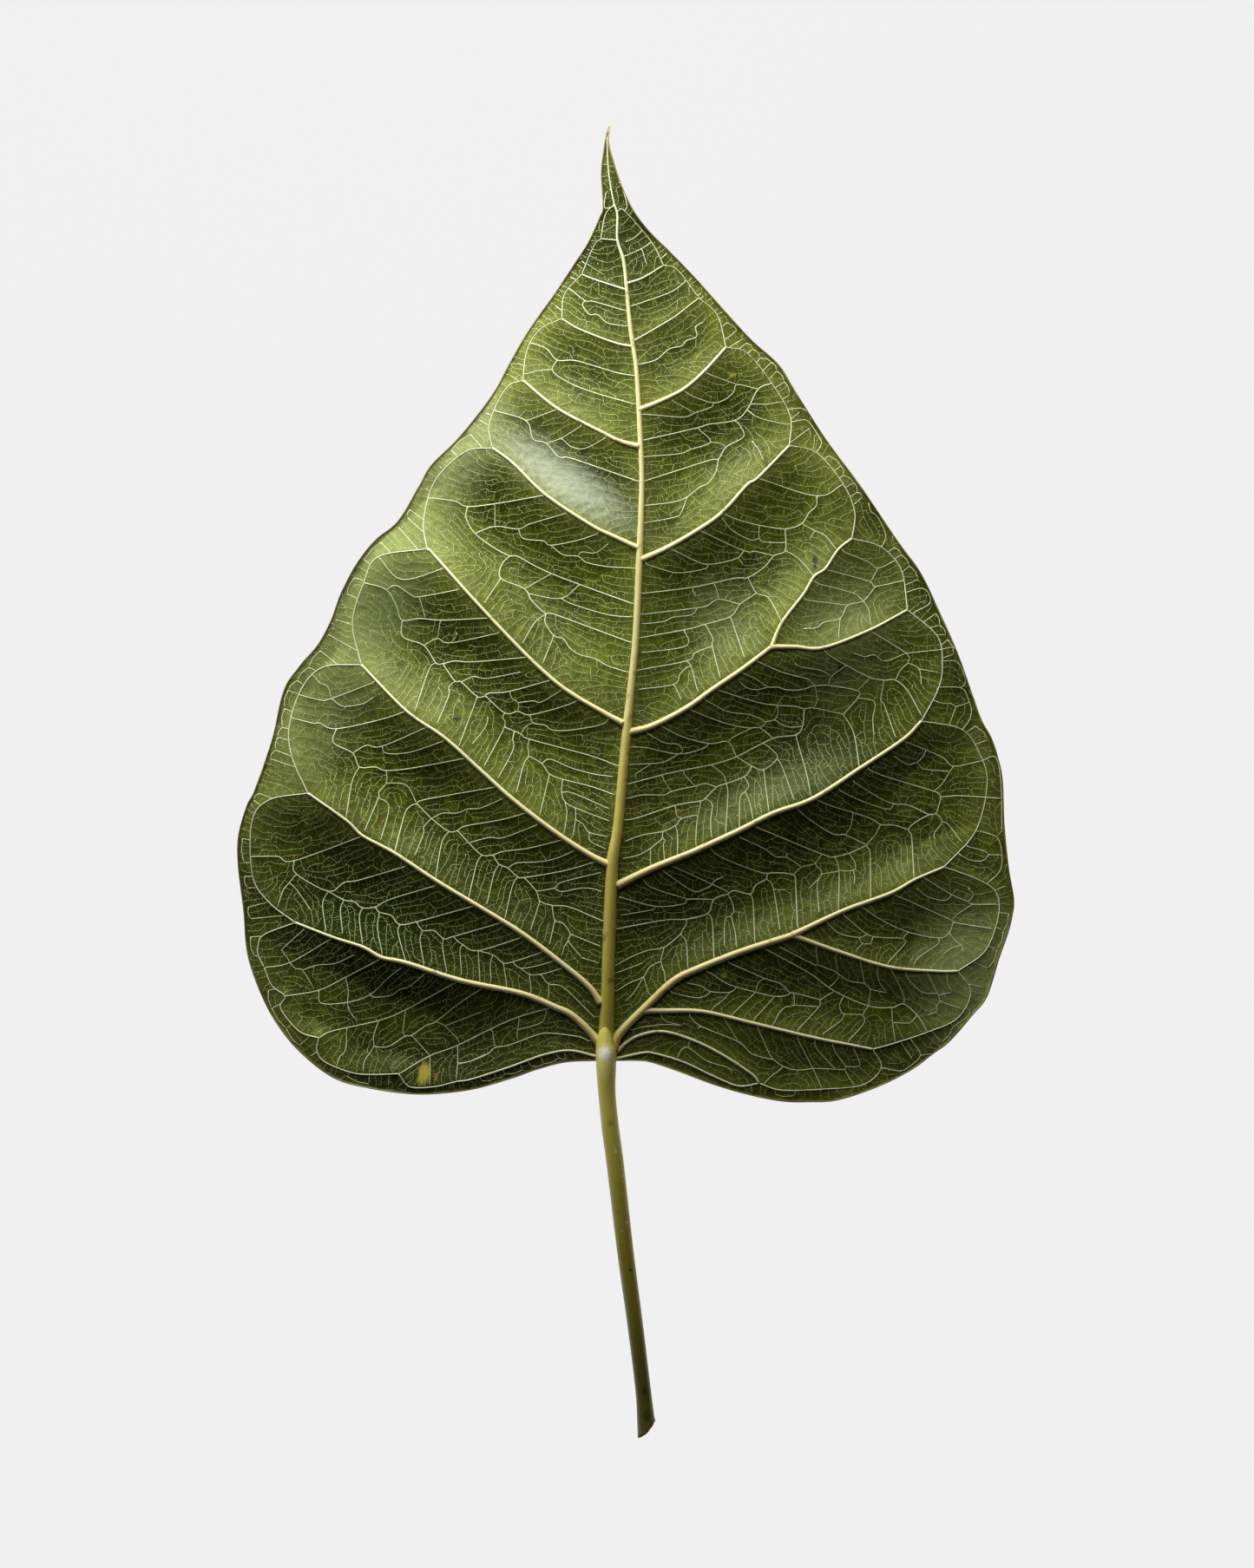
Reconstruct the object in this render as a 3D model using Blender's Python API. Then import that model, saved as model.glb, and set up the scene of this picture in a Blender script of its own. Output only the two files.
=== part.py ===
# A picked heart-shaped fig leaf with a long drip tip. It lies on a flat surface with its
# veined underside up, arched a little, and its cut stalk trails from the notch of the heart.
#
# The leaf is drawn in a plan frame of its own: +X to the right, +Y towards the tip, and the
# origin on the midrib where the lowest strong side veins meet it. Plan points are whole
# tenths of a millimetre. Two solids are made: the blade, with its midrib, side veins and
# the loops that join them raised on it, and the stalk.

import math

import bmesh
import bpy
import numpy as np
from mathutils import Vector
from mathutils.geometry import delaunay_2d_cdt

# Driving dimensions, in metres
PLAN_UNIT = 0.0001  # one step of the plan frame, so the blade is 112 mm from tip to lobes
BLADE_THICKNESS = 0.00034
VEIN_PROUD = 0.62  # how far a vein stands up, as a share of its width
PANEL_SAG = 0.0015  # how deep the widest panel between veins hangs below them
ARCH_RISE = 0.0050  # how high the blade's middle arches off the ground
ARCH_CREST = 0.044  # where along the midrib the arch is highest
ARCH_TO_TIP = 0.0645  # from the crest to where the arch meets the ground
ARCH_TO_LOBES = 0.056
MARGIN_WAVE = 0.0005  # how far the margin waves up and down
WAVE_COUNT = 9  # waves round the margin
REST_HEIGHT = 0.0001  # height of the sheet's middle where the arch has come down to nothing
STALK_GAP = 0.0003  # clear space between the blade's base and the stalk's end
STALK_CUT_SLANT = 0.95  # how much further the cut end reaches on its left, per unit of width

# Mesh spacing, in metres
MARGIN_STEP = 0.0014
CREST_STEP = 0.0019
LOOP_STEP = 0.0020
FILL_STEP = 0.0034
SAG_CELL = 0.0005
STALK_STEP = 0.0022
STALK_SIDES = 16

# The margin, from the drip tip down the left side to the stalk
MARGIN_LEFT = [
    (2, 1057), (-1, 1050), (-2, 1045), (-3, 1039), (-5, 1028), (-8, 998), (-6, 960), (-10, 948),
    (-24, 918), (-40, 894), (-64, 858), (-90, 822), (-110, 788), (-130, 750), (-150, 722),
    (-174, 694), (-204, 664), (-218, 640), (-242, 600), (-268, 578), (-290, 550), (-308, 516),
    (-319, 486), (-334, 458), (-356, 432), (-374, 404), (-387, 348), (-407, 290), (-416, 272),
    (-426, 236), (-426, 200), (-420, 150), (-415, 98), (-397, 48), (-376, 12), (-350, -17),
    (-316, -42), (-280, -53), (-220, -61), (-160, -56), (-112, -43), (-84, -33), (-50, -24),
    (-14, -22),
]
# The margin, from the stalk up the right side to the drip tip
MARGIN_RIGHT = [
    (10, -22), (35, -22), (50, -24), (80, -34), (120, -49), (160, -61), (200, -69), (230, -70),
    (264, -68), (310, -53), (350, -33), (374, -15), (394, 0), (420, 30), (437, 52), (451, 96),
    (461, 124), (466, 144), (468, 164), (462, 200), (457, 250), (455, 300), (450, 326),
    (442, 350), (431, 370), (420, 400), (402, 450), (380, 500), (360, 541), (334, 577),
    (291, 640), (252, 693), (217, 748), (197, 780), (168, 806), (140, 836), (102, 878),
    (71, 910), (44, 937), (27, 961), (13, 993), (3, 1026), (1, 1039), (2, 1046), (3, 1051),
]
# The midrib, from the drip tip to the stalk: place and width
MIDRIB = [
    (-1, 1040, 1), (0, 1012, 2), (2, 991, 2), (7, 964, 3), (11, 950, 3), (11, 922, 3),
    (18, 898, 4), (21, 872, 4), (26, 820, 5), (33, 770, 5), (37, 700, 6), (39, 650, 6),
    (38, 600, 7), (36, 550, 8), (34, 500, 8), (31, 450, 8), (26, 400, 9), (21, 350, 11),
    (12, 250, 12), (5, 200, 14), (1, 100, 15), (0, 50, 16), (-2, 10, 18), (-3, -10, 23),
    (-2, -22, 23),
]
# The side veins, from the midrib or a fork outward: width at each end and the line
SIDE_VEINS = {
    "left_base": (3, 2, [(-16, -16), (-44, -10), (-74, -15), (-110, -28), (-156, -43),
                         (-174, -46)]),
    "left_1": (8, 3, [(-4, -14), (-16, 6), (-40, 30), (-60, 40), (-100, 56), (-170, 71),
                      (-232, 91), (-260, 97), (-282, 109), (-316, 120), (-360, 137)]),
    "left_2": (7, 3, [(-8, 44), (-24, 66), (-60, 96), (-100, 126), (-140, 151), (-198, 186),
                      (-245, 217), (-282, 237), (-300, 254), (-345, 286)]),
    "left_3": (7, 3, [(4, 203), (-20, 215), (-60, 241), (-108, 278), (-148, 314),
                      (-188, 350), (-232, 381), (-284, 434)]),
    "left_4": (6, 3, [(18, 366), (-4, 378), (-50, 406), (-92, 443), (-150, 504),
                      (-200, 560), (-208, 567)]),
    "left_5": (5, 3, [(36, 567), (6, 581), (-20, 594), (-72, 629), (-110, 666), (-133, 683)]),
    "left_6": (5, 3, [(36, 684), (14, 690), (-6, 700), (-58, 728), (-98, 761)]),
    "left_7": (4, 2, [(28, 799), (12, 802), (-8, 809), (-36, 821), (-53, 832)]),
    "left_8": (4, 2, [(21, 864), (-14, 876), (-30, 883)]),
    "left_9": (3, 2, [(11, 921), (-8, 923)]),
    "right_base_low": (3, 2, [(11, -19), (38, -13), (52, -13), (86, -23), (120, -39),
                              (150, -51), (174, -48)]),
    "right_base_high": (4, 3, [(11, -11), (20, -2), (35, 7), (62, 12), (95, 3), (130, -14),
                               (165, -37), (174, -48)]),
    "right_lobe": (6, 3, [(38, 36), (68, 36), (96, 36), (120, 33), (169, 21), (235, 5),
                          (280, -4), (305, -9)]),
    "right_1": (10, 7, [(4, 6), (22, 22), (47, 46), (75, 70), (100, 83), (150, 103),
                        (212, 123)]),
    "right_1_high": (6, 3, [(212, 123), (271, 151), (325, 171), (354, 187), (387, 201)]),
    "right_1_low": (5, 3, [(212, 123), (268, 103), (324, 86), (380, 81), (403, 81)]),
    "right_2": (8, 4, [(10, 180), (51, 200), (100, 220), (150, 243), (190, 263), (236, 280),
                       (289, 314), (340, 348), (361, 369)]),
    "right_3": (7, 5, [(24, 356), (50, 363), (89, 383), (120, 405), (155, 429), (188, 454)]),
    "right_3_high": (4, 3, [(188, 454), (200, 482), (225, 515), (237, 535), (250, 544),
                            (265, 566), (281, 579)]),
    "right_3_low": (5, 3, [(188, 454), (215, 454), (247, 453), (300, 473), (345, 497)]),
    "right_4": (6, 3, [(38, 554), (65, 566), (100, 586), (131, 608), (160, 640), (172, 648),
                       (209, 686)]),
    "right_5": (5, 3, [(35, 726), (62, 737), (87, 750), (110, 770), (136, 799)]),
    "right_6": (2, 2, [(27, 804), (50, 817), (76, 833), (90, 844), (105, 856)]),
    "right_7": (4, 2, [(20, 871), (40, 878), (64, 893)]),
}
# The loops that run just inside the margin, from one side vein's end to the next
LOOPS = [
    [(-174, -46), (-200, -52), (-228, -52), (-241, -37)],
    [(-241, -37), (-270, -38), (-294, -36), (-325, -24), (-335, -11), (-333, 4)],
    [(-333, 4), (-356, 12), (-377, 38), (-372, 52), (-387, 64), (-396, 85)],
    [(-396, 85), (-403, 100), (-403, 110), (-396, 123), (-360, 137)],
    [(-360, 137), (-390, 160), (-409, 190), (-410, 252), (-390, 278), (-345, 286)],
    [(-345, 286), (-363, 326), (-367, 362), (-353, 406), (-328, 431), (-284, 434)],
    [(-284, 434), (-294, 482), (-281, 528), (-264, 558), (-208, 567)],
    [(-208, 567), (-212, 600), (-199, 646), (-164, 679), (-133, 683)],
    [(-133, 683), (-136, 712), (-117, 752), (-98, 761)],
    [(-98, 761), (-93, 796), (-78, 820), (-53, 832)],
    [(-53, 832), (-50, 860), (-30, 883)],
    [(-30, 883), (-16, 915), (-8, 923)],
    [(-8, 923), (-3, 950), (7, 962)],
    [(174, -48), (200, -56), (247, -55), (294, -50), (315, -30), (305, -9)],
    [(305, -9), (330, -2), (369, 11), (403, 27), (418, 57), (403, 81)],
    [(403, 81), (435, 105), (450, 145), (447, 172), (425, 187), (387, 201)],
    [(387, 201), (424, 243), (437, 297), (429, 330), (408, 359), (361, 369)],
    [(361, 369), (381, 408), (385, 438), (379, 467), (345, 497)],
    [(345, 497), (338, 543), (315, 569), (281, 579)],
    [(281, 579), (284, 610), (270, 643), (240, 678), (209, 686)],
    [(209, 686), (210, 720), (189, 758), (160, 793), (136, 799)],
    [(136, 799), (126, 836), (105, 856)],
    [(105, 856), (80, 888), (64, 893)],
    [(64, 893), (50, 920), (19, 955), (11, 954)],
]
LOOP_WIDTH = 3
# The blade's half width, measured from the midrib: place along the leaf and half width
HALF_WIDTH = [
    (-100, 300), (-60, 340), (50, 415), (200, 444), (350, 415), (500, 347), (650, 248),
    (800, 140), (900, 60), (960, 30), (1060, 20),
]
# The stalk, from the blade's base to the cut end: place and width
STALK = [
    (-3, -26, 23), (-1, -60, 20), (3, -100, 20), (8, -137, 20), (20, -240, 19),
    (32, -330, 18), (42, -408, 18), (46, -446, 22),
]


def smooth_line(points, step):
    """Evenly spaced points, in metres, on a smooth curve through the given plan points."""
    known = np.array(points, float) * PLAN_UNIT
    ends = 2 * known[0] - known[1], 2 * known[-1] - known[-2]
    padded = np.vstack([ends[0], known, ends[1]])
    t = np.linspace(0, 1, 12, endpoint=False)[:, None]
    runs = [
        (2 * b + (c - a) * t + (2 * a - 5 * b + 4 * c - d) * t**2 + (3 * b - a - 3 * c + d) * t**3) / 2
        for a, b, c, d in zip(padded, padded[1:], padded[2:], padded[3:])
    ]
    dense = np.vstack(runs + [known[-1:]])
    spans = np.linalg.norm(np.diff(dense[:, :2], axis=0), axis=1)
    travel = np.concatenate([[0], np.cumsum(spans)])
    stops = np.linspace(0, travel[-1], max(2, round(travel[-1] / step) + 1))
    return np.column_stack([np.interp(stops, travel, column) for column in dense.T])


def vein_lines(step):
    """Every vein as rows of x, y and width, the midrib first, then side veins, then loops."""
    lines = [smooth_line(MIDRIB, step)]
    for start_width, end_width, points in SIDE_VEINS.values():
        widths = np.linspace(start_width, end_width, len(points))
        lines.append(smooth_line(np.column_stack([points, widths]), step))
    for points in LOOPS:
        lines.append(smooth_line([(x, y, LOOP_WIDTH) for x, y in points], step))
    return lines


def margin_line():
    """The blade's outline, anticlockwise from the drip tip, without its closing point."""
    left = smooth_line(MARGIN_LEFT, MARGIN_STEP)
    right = smooth_line(MARGIN_RIGHT, MARGIN_STEP)
    return np.vstack([left, right])


def inside(points, outline):
    """Whether each point lies inside the closed outline, by counting edges to its right."""
    x, y = points[:, 0], points[:, 1]
    count = np.zeros(len(points), int)
    for (x0, y0), (x1, y1) in zip(outline, np.roll(outline, -1, axis=0)):
        spans = (y0 > y) != (y1 > y)
        if y0 != y1:
            count += spans & (x < x0 + (x1 - x0) * (y - y0) / (y1 - y0))
    return count % 2 == 1


class Sheet:
    """The blade's middle surface: an arch with drooping sides and panels hung between veins."""

    def __init__(self, outline, lines):
        self.midrib = lines[0][lines[0][:, 1].argsort()]
        self.half_width = smooth_line(HALF_WIDTH, SAG_CELL)
        self.low = outline.min(axis=0) - 2 * SAG_CELL
        size = np.ceil((outline.max(axis=0) + 2 * SAG_CELL - self.low) / SAG_CELL).astype(int)
        columns, rows = np.meshgrid(np.arange(size[0]), np.arange(size[1]), indexing="ij")
        cells = self.low + np.column_stack([columns.ravel(), rows.ravel()]) * SAG_CELL
        blade = inside(cells, outline).reshape(size)
        held = np.zeros(size, bool)
        for line in lines:
            held[tuple(np.round((line[:, :2] - self.low) / SAG_CELL).astype(int).T)] = True
        self.sag = self.settle(blade, blade & ~held)

    @staticmethod
    def settle(blade, free, passes=500):
        """An even load on a sheet held along the veins: 0 on a vein, 1 in the widest panel."""
        turns = [(1, 0), (-1, 0), (0, 1), (0, -1)]
        around = np.maximum(1, sum(np.roll(blade, turn, (0, 1)).astype(int) for turn in turns))
        sag = np.zeros(blade.shape)
        for _ in range(passes):
            total = sum(np.roll(sag, turn, (0, 1)) for turn in turns)
            sag = np.where(free, total / around + 1, 0)
        return sag / sag.max()

    def sag_at(self, points):
        place = (points - self.low) / SAG_CELL
        corner = np.clip(place.astype(int), 0, np.array(self.sag.shape) - 2)
        x, y = (place - corner).T
        i, j = corner.T
        near = self.sag[i, j] * (1 - x) + self.sag[i + 1, j] * x
        far = self.sag[i, j + 1] * (1 - x) + self.sag[i + 1, j + 1] * x
        return near * (1 - y) + far * y

    def height(self, points):
        x, y = points.T
        from_midrib = x - np.interp(y, self.midrib[:, 1], self.midrib[:, 0])
        side = np.abs(from_midrib) / np.interp(y, self.half_width[:, 0], self.half_width[:, 1])
        reach = np.where(y > ARCH_CREST, ARCH_TO_TIP, ARCH_TO_LOBES)
        arch = ARCH_RISE * (1 - ((y - ARCH_CREST) / reach) ** 2) * (1 - np.minimum(side, 1) ** 2)
        angle = np.arctan2(from_midrib, y - ARCH_CREST)
        wave = MARGIN_WAVE * np.sin(WAVE_COUNT * angle) * np.minimum(side, 1) ** 2
        return REST_HEIGHT + arch + wave - PANEL_SAG * self.sag_at(points)


def ridge_height(points, lines):
    """How far the nearest vein stands above the sheet at each point."""
    height = np.zeros(len(points))
    for line in lines:
        for start, end in zip(line, line[1:]):
            run = end[:2] - start[:2]
            along = np.clip((points - start[:2]) @ run / max(run @ run, 1e-12), 0, 1)
            width = start[2] + (end[2] - start[2]) * along
            away = np.linalg.norm(points - start[:2] - along[:, None] * run, axis=1)
            round_top = np.sqrt(np.maximum(0, 1 - (2 * away / width) ** 2))
            height = np.maximum(height, VEIN_PROUD * width * round_top)
    return height


class Plan:
    """The blade's plan points, with the edges that the mesh has to keep."""

    def __init__(self, outline):
        self.points = [tuple(point) for point in outline]
        last = len(outline) - 1
        self.edges = [(i, i + 1) for i in range(last)] + [(last, 0)]
        self.outline = outline

    def nearest(self, point):
        away = np.linalg.norm(np.array(self.points) - point, axis=1)
        return int(away.argmin()), away.min()

    def add_crest(self, line, room):
        """A kept line; a point with another closer than room takes that one's place."""
        before = None
        for point in line[:, :2]:
            index, away = self.nearest(point)
            if away > room:
                index = len(self.points)
                self.points.append(tuple(point))
            if before is not None and before != index:
                self.edges.append((before, index))
            before = index

    def add_loose(self, points, room):
        for point in points[inside(points, self.outline)]:
            if self.nearest(point)[1] > room:
                self.points.append(tuple(point))


def feet_of(line):
    """Points on both sides of a vein, where its ridge meets the sheet."""
    run = np.gradient(line[:, :2], axis=0)
    across = np.column_stack([-run[:, 1], run[:, 0]]) / np.linalg.norm(run, axis=1)[:, None]
    half = line[:, 2:] / 2
    return np.vstack([line[:, :2] + across * half, line[:, :2] - across * half])


def outside_midrib(line, midrib):
    """The part of a side vein that starts on the flank of the midrib, clear of its crest."""
    away = np.linalg.norm(line[:, None, :2] - midrib[None, :, :2], axis=2)
    nearest = away.argmin(axis=1)
    clear = away.min(axis=1) > midrib[nearest, 2] / 2 + 0.2 * CREST_STEP
    return line[clear]


def blade_plan(outline):
    plan = Plan(outline)
    lines = vein_lines(CREST_STEP)
    midrib, side_veins, loops = lines[0], lines[1 : 1 + len(SIDE_VEINS)], lines[1 + len(SIDE_VEINS) :]
    crests = [midrib] + [outside_midrib(line, midrib) for line in side_veins]
    for line in crests:
        plan.add_crest(line, 0.25 * CREST_STEP)
    for line in loops:
        plan.add_crest(line[:: round(LOOP_STEP / CREST_STEP)], 0.25 * LOOP_STEP)
    for line in crests:
        plan.add_loose(feet_of(line), 0.1 * CREST_STEP)
    low, high = outline.min(axis=0), outline.max(axis=0)
    rows = np.arange(low[1], high[1], FILL_STEP * math.sqrt(3) / 2)
    for number, y in enumerate(rows):
        x = np.arange(low[0] + (number % 2) * FILL_STEP / 2, high[0], FILL_STEP)
        plan.add_loose(np.column_stack([x, np.full(len(x), y)]), 0.45 * FILL_STEP)
    return plan


def make_blade(material):
    outline = margin_line()
    sheet = Sheet(outline, vein_lines(SAG_CELL / 2))
    plan = blade_plan(outline)
    ring = [list(range(len(outline)))]
    places = [Vector(point) for point in plan.points]
    flat, _, faces = delaunay_2d_cdt(places, plan.edges, ring, 1, 1e-6)[:3]
    points = np.array([(place.x, place.y) for place in flat])
    middle = sheet.height(points)
    under = np.maximum(middle - BLADE_THICKNESS / 2, 0)
    ridge = ridge_height(points, vein_lines(CREST_STEP))
    over = np.maximum(middle + BLADE_THICKNESS / 2, under + BLADE_THICKNESS) + ridge

    mesh = bmesh.new()
    top = [mesh.verts.new((x, y, z)) for (x, y), z in zip(points, over)]
    bottom = [mesh.verts.new((x, y, z)) for (x, y), z in zip(points, under)]
    rim = {}
    for face in faces:
        mesh.faces.new([top[i] for i in face])
        mesh.faces.new([bottom[i] for i in reversed(face)])
        for start, end in zip(face, face[1:] + face[:1]):
            rim[start, end] = (end, start) not in rim
            if not rim[start, end]:
                del rim[start, end], rim[end, start]
    for start, end in rim:
        mesh.faces.new([top[start], bottom[start], bottom[end], top[end]])
    return finish("leaf_blade", mesh, material), sheet


def make_stalk(material, sheet):
    """A round tapering stalk that comes down from the blade's base to lie on the ground."""
    line = smooth_line(STALK, STALK_STEP)
    line[:, 1] -= line[0, 1] - (MARGIN_LEFT[-1][1] * PLAN_UNIT - STALK_GAP)
    run = np.gradient(line[:, :2], axis=0)
    across = np.column_stack([-run[:, 1], run[:, 0]]) / np.linalg.norm(run, axis=1)[:, None]
    travel = np.linspace(0, 1, len(line))
    base = sheet.height(np.array([MIDRIB[-1][:2]]) * PLAN_UNIT)[0] + line[0, 2] * 0.3
    middle = base + (line[-1, 2] / 2 - base) * travel
    middle = np.maximum(middle, line[:, 2] / 2)

    mesh = bmesh.new()
    rings = []
    for number, ((x, y, width), (side_x, side_y), z) in enumerate(zip(line, across, middle)):
        slant = STALK_CUT_SLANT if number == len(line) - 1 else 0
        ring = []
        for turn in range(STALK_SIDES):
            angle = 2 * math.pi * turn / STALK_SIDES
            out = width / 2 * math.cos(angle)
            back = slant * out
            place = (x + side_x * out - side_y * back, y + side_y * out + side_x * back)
            ring.append(mesh.verts.new((*place, z + width / 2 * math.sin(angle))))
        rings.append(ring)
    for near, far in zip(rings, rings[1:]):
        for turn in range(STALK_SIDES):
            after = (turn + 1) % STALK_SIDES
            mesh.faces.new([near[turn], near[after], far[after], far[turn]])
    mesh.faces.new(list(reversed(rings[0])))
    mesh.faces.new(rings[-1])
    return finish("leaf_stalk", mesh, material)


def finish(name, mesh, material):
    bmesh.ops.recalc_face_normals(mesh, faces=mesh.faces)
    data = bpy.data.meshes.new(name)
    mesh.to_mesh(data)
    mesh.free()
    data.materials.append(material)
    data.shade_smooth()
    data.set_sharp_from_angle(angle=math.radians(50))
    solid = bpy.data.objects.new(name, data)
    bpy.context.scene.collection.objects.link(solid)
    return solid


def leaf_material(name, colour, roughness):
    material = bpy.data.materials.new(name)
    material.use_nodes = True
    shader = material.node_tree.nodes["Principled BSDF"]
    shader.inputs["Base Color"].default_value = (*colour, 1)
    shader.inputs["Roughness"].default_value = roughness
    shader.inputs["Metallic"].default_value = 0
    return material


def main():
    for old in list(bpy.data.objects):
        bpy.data.objects.remove(old, do_unlink=True)
    blade, sheet = make_blade(leaf_material("leaf_green", (0.060, 0.085, 0.020), 0.45))
    stalk = make_stalk(leaf_material("stalk_olive", (0.220, 0.190, 0.050), 0.5), sheet)

    # The empty holds the leaf with the middle of its box on the origin
    corners = [vertex.co for solid in (blade, stalk) for vertex in solid.data.vertices]
    middle = [(min(c[axis] for c in corners) + max(c[axis] for c in corners)) / 2 for axis in (0, 1)]
    leaf = bpy.data.objects.new("fig_leaf", None)
    leaf.location = (-middle[0], -middle[1], 0)
    bpy.context.scene.collection.objects.link(leaf)
    for solid in (blade, stalk):
        solid.parent = leaf


main()
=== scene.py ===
import math
import random

import bpy
import numpy as np
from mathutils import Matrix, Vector, noise
from mathutils.bvhtree import BVHTree
from mathutils.geometry import delaunay_2d_cdt
from mathutils.kdtree import KDTree


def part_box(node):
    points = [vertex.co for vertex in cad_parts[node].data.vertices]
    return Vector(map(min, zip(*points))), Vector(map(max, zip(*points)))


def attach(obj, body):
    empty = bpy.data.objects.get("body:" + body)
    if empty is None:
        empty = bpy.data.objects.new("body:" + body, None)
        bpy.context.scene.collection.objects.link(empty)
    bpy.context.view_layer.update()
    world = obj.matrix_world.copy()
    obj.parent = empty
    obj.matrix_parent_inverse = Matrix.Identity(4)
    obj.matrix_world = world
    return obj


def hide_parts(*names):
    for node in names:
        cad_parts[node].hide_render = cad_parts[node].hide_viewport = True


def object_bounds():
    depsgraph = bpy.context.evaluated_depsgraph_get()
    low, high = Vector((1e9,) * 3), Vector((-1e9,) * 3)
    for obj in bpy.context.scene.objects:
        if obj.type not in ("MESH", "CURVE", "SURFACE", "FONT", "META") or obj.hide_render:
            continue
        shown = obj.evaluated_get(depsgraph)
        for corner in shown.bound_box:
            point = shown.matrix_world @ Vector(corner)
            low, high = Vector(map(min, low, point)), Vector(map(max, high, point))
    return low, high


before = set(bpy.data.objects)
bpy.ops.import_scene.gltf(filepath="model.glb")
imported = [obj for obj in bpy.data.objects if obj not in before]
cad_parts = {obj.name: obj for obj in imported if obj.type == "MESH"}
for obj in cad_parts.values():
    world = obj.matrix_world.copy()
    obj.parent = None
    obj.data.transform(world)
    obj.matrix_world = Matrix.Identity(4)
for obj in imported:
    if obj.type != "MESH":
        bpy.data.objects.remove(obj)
cadLow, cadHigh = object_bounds()
dice = random.Random(8)

mm = 0.001
planUnit = 0.1 * mm  # the lists of plan points below are in tenths of a millimetre
curvePieces = 12  # straight pieces of a curve between two plan points
tiny = 1e-9  # keeps a division or a test clear of zero

# The blade's outline, and how far it reaches from the midrib: place along the leaf, half width
outline = {
    "left": [
        (2, 1057), (-1, 1050), (-2, 1045), (-3, 1039), (-5, 1028), (-8, 998), (-6, 960), (-10, 948),
        (-24, 918), (-40, 894), (-64, 858), (-90, 822), (-110, 788), (-130, 750), (-150, 722),
        (-174, 694), (-204, 664), (-218, 640), (-242, 600), (-268, 578), (-290, 550), (-308, 516),
        (-319, 486), (-334, 458), (-356, 432), (-374, 404), (-387, 348), (-407, 290), (-416, 272),
        (-426, 236), (-426, 200), (-420, 150), (-415, 98), (-397, 48), (-376, 12), (-350, -17),
        (-316, -42), (-280, -53), (-220, -61), (-160, -56), (-112, -43), (-84, -33), (-50, -24),
        (-14, -22),
    ],
    "right": [
        (10, -22), (35, -22), (50, -24), (80, -34), (120, -49), (160, -61), (200, -69), (230, -70),
        (264, -68), (310, -53), (350, -33), (374, -15), (394, 0), (420, 30), (437, 52), (451, 96),
        (461, 124), (466, 144), (468, 164), (462, 200), (457, 250), (455, 300), (450, 326),
        (442, 350), (431, 370), (420, 400), (402, 450), (380, 500), (360, 541), (334, 577),
        (291, 640), (252, 693), (217, 748), (197, 780), (168, 806), (140, 836), (102, 878),
        (71, 910), (44, 937), (27, 961), (13, 993), (3, 1026), (1, 1039), (2, 1046), (3, 1051),
    ],
    "halfWidth": [
        (-100, 300), (-60, 340), (50, 415), (200, 444), (350, 415), (500, 347), (650, 248),
        (800, 140), (900, 60), (960, 30), (1060, 20),
    ],
    "pointSpacing": 1.4 * mm,
}

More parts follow.
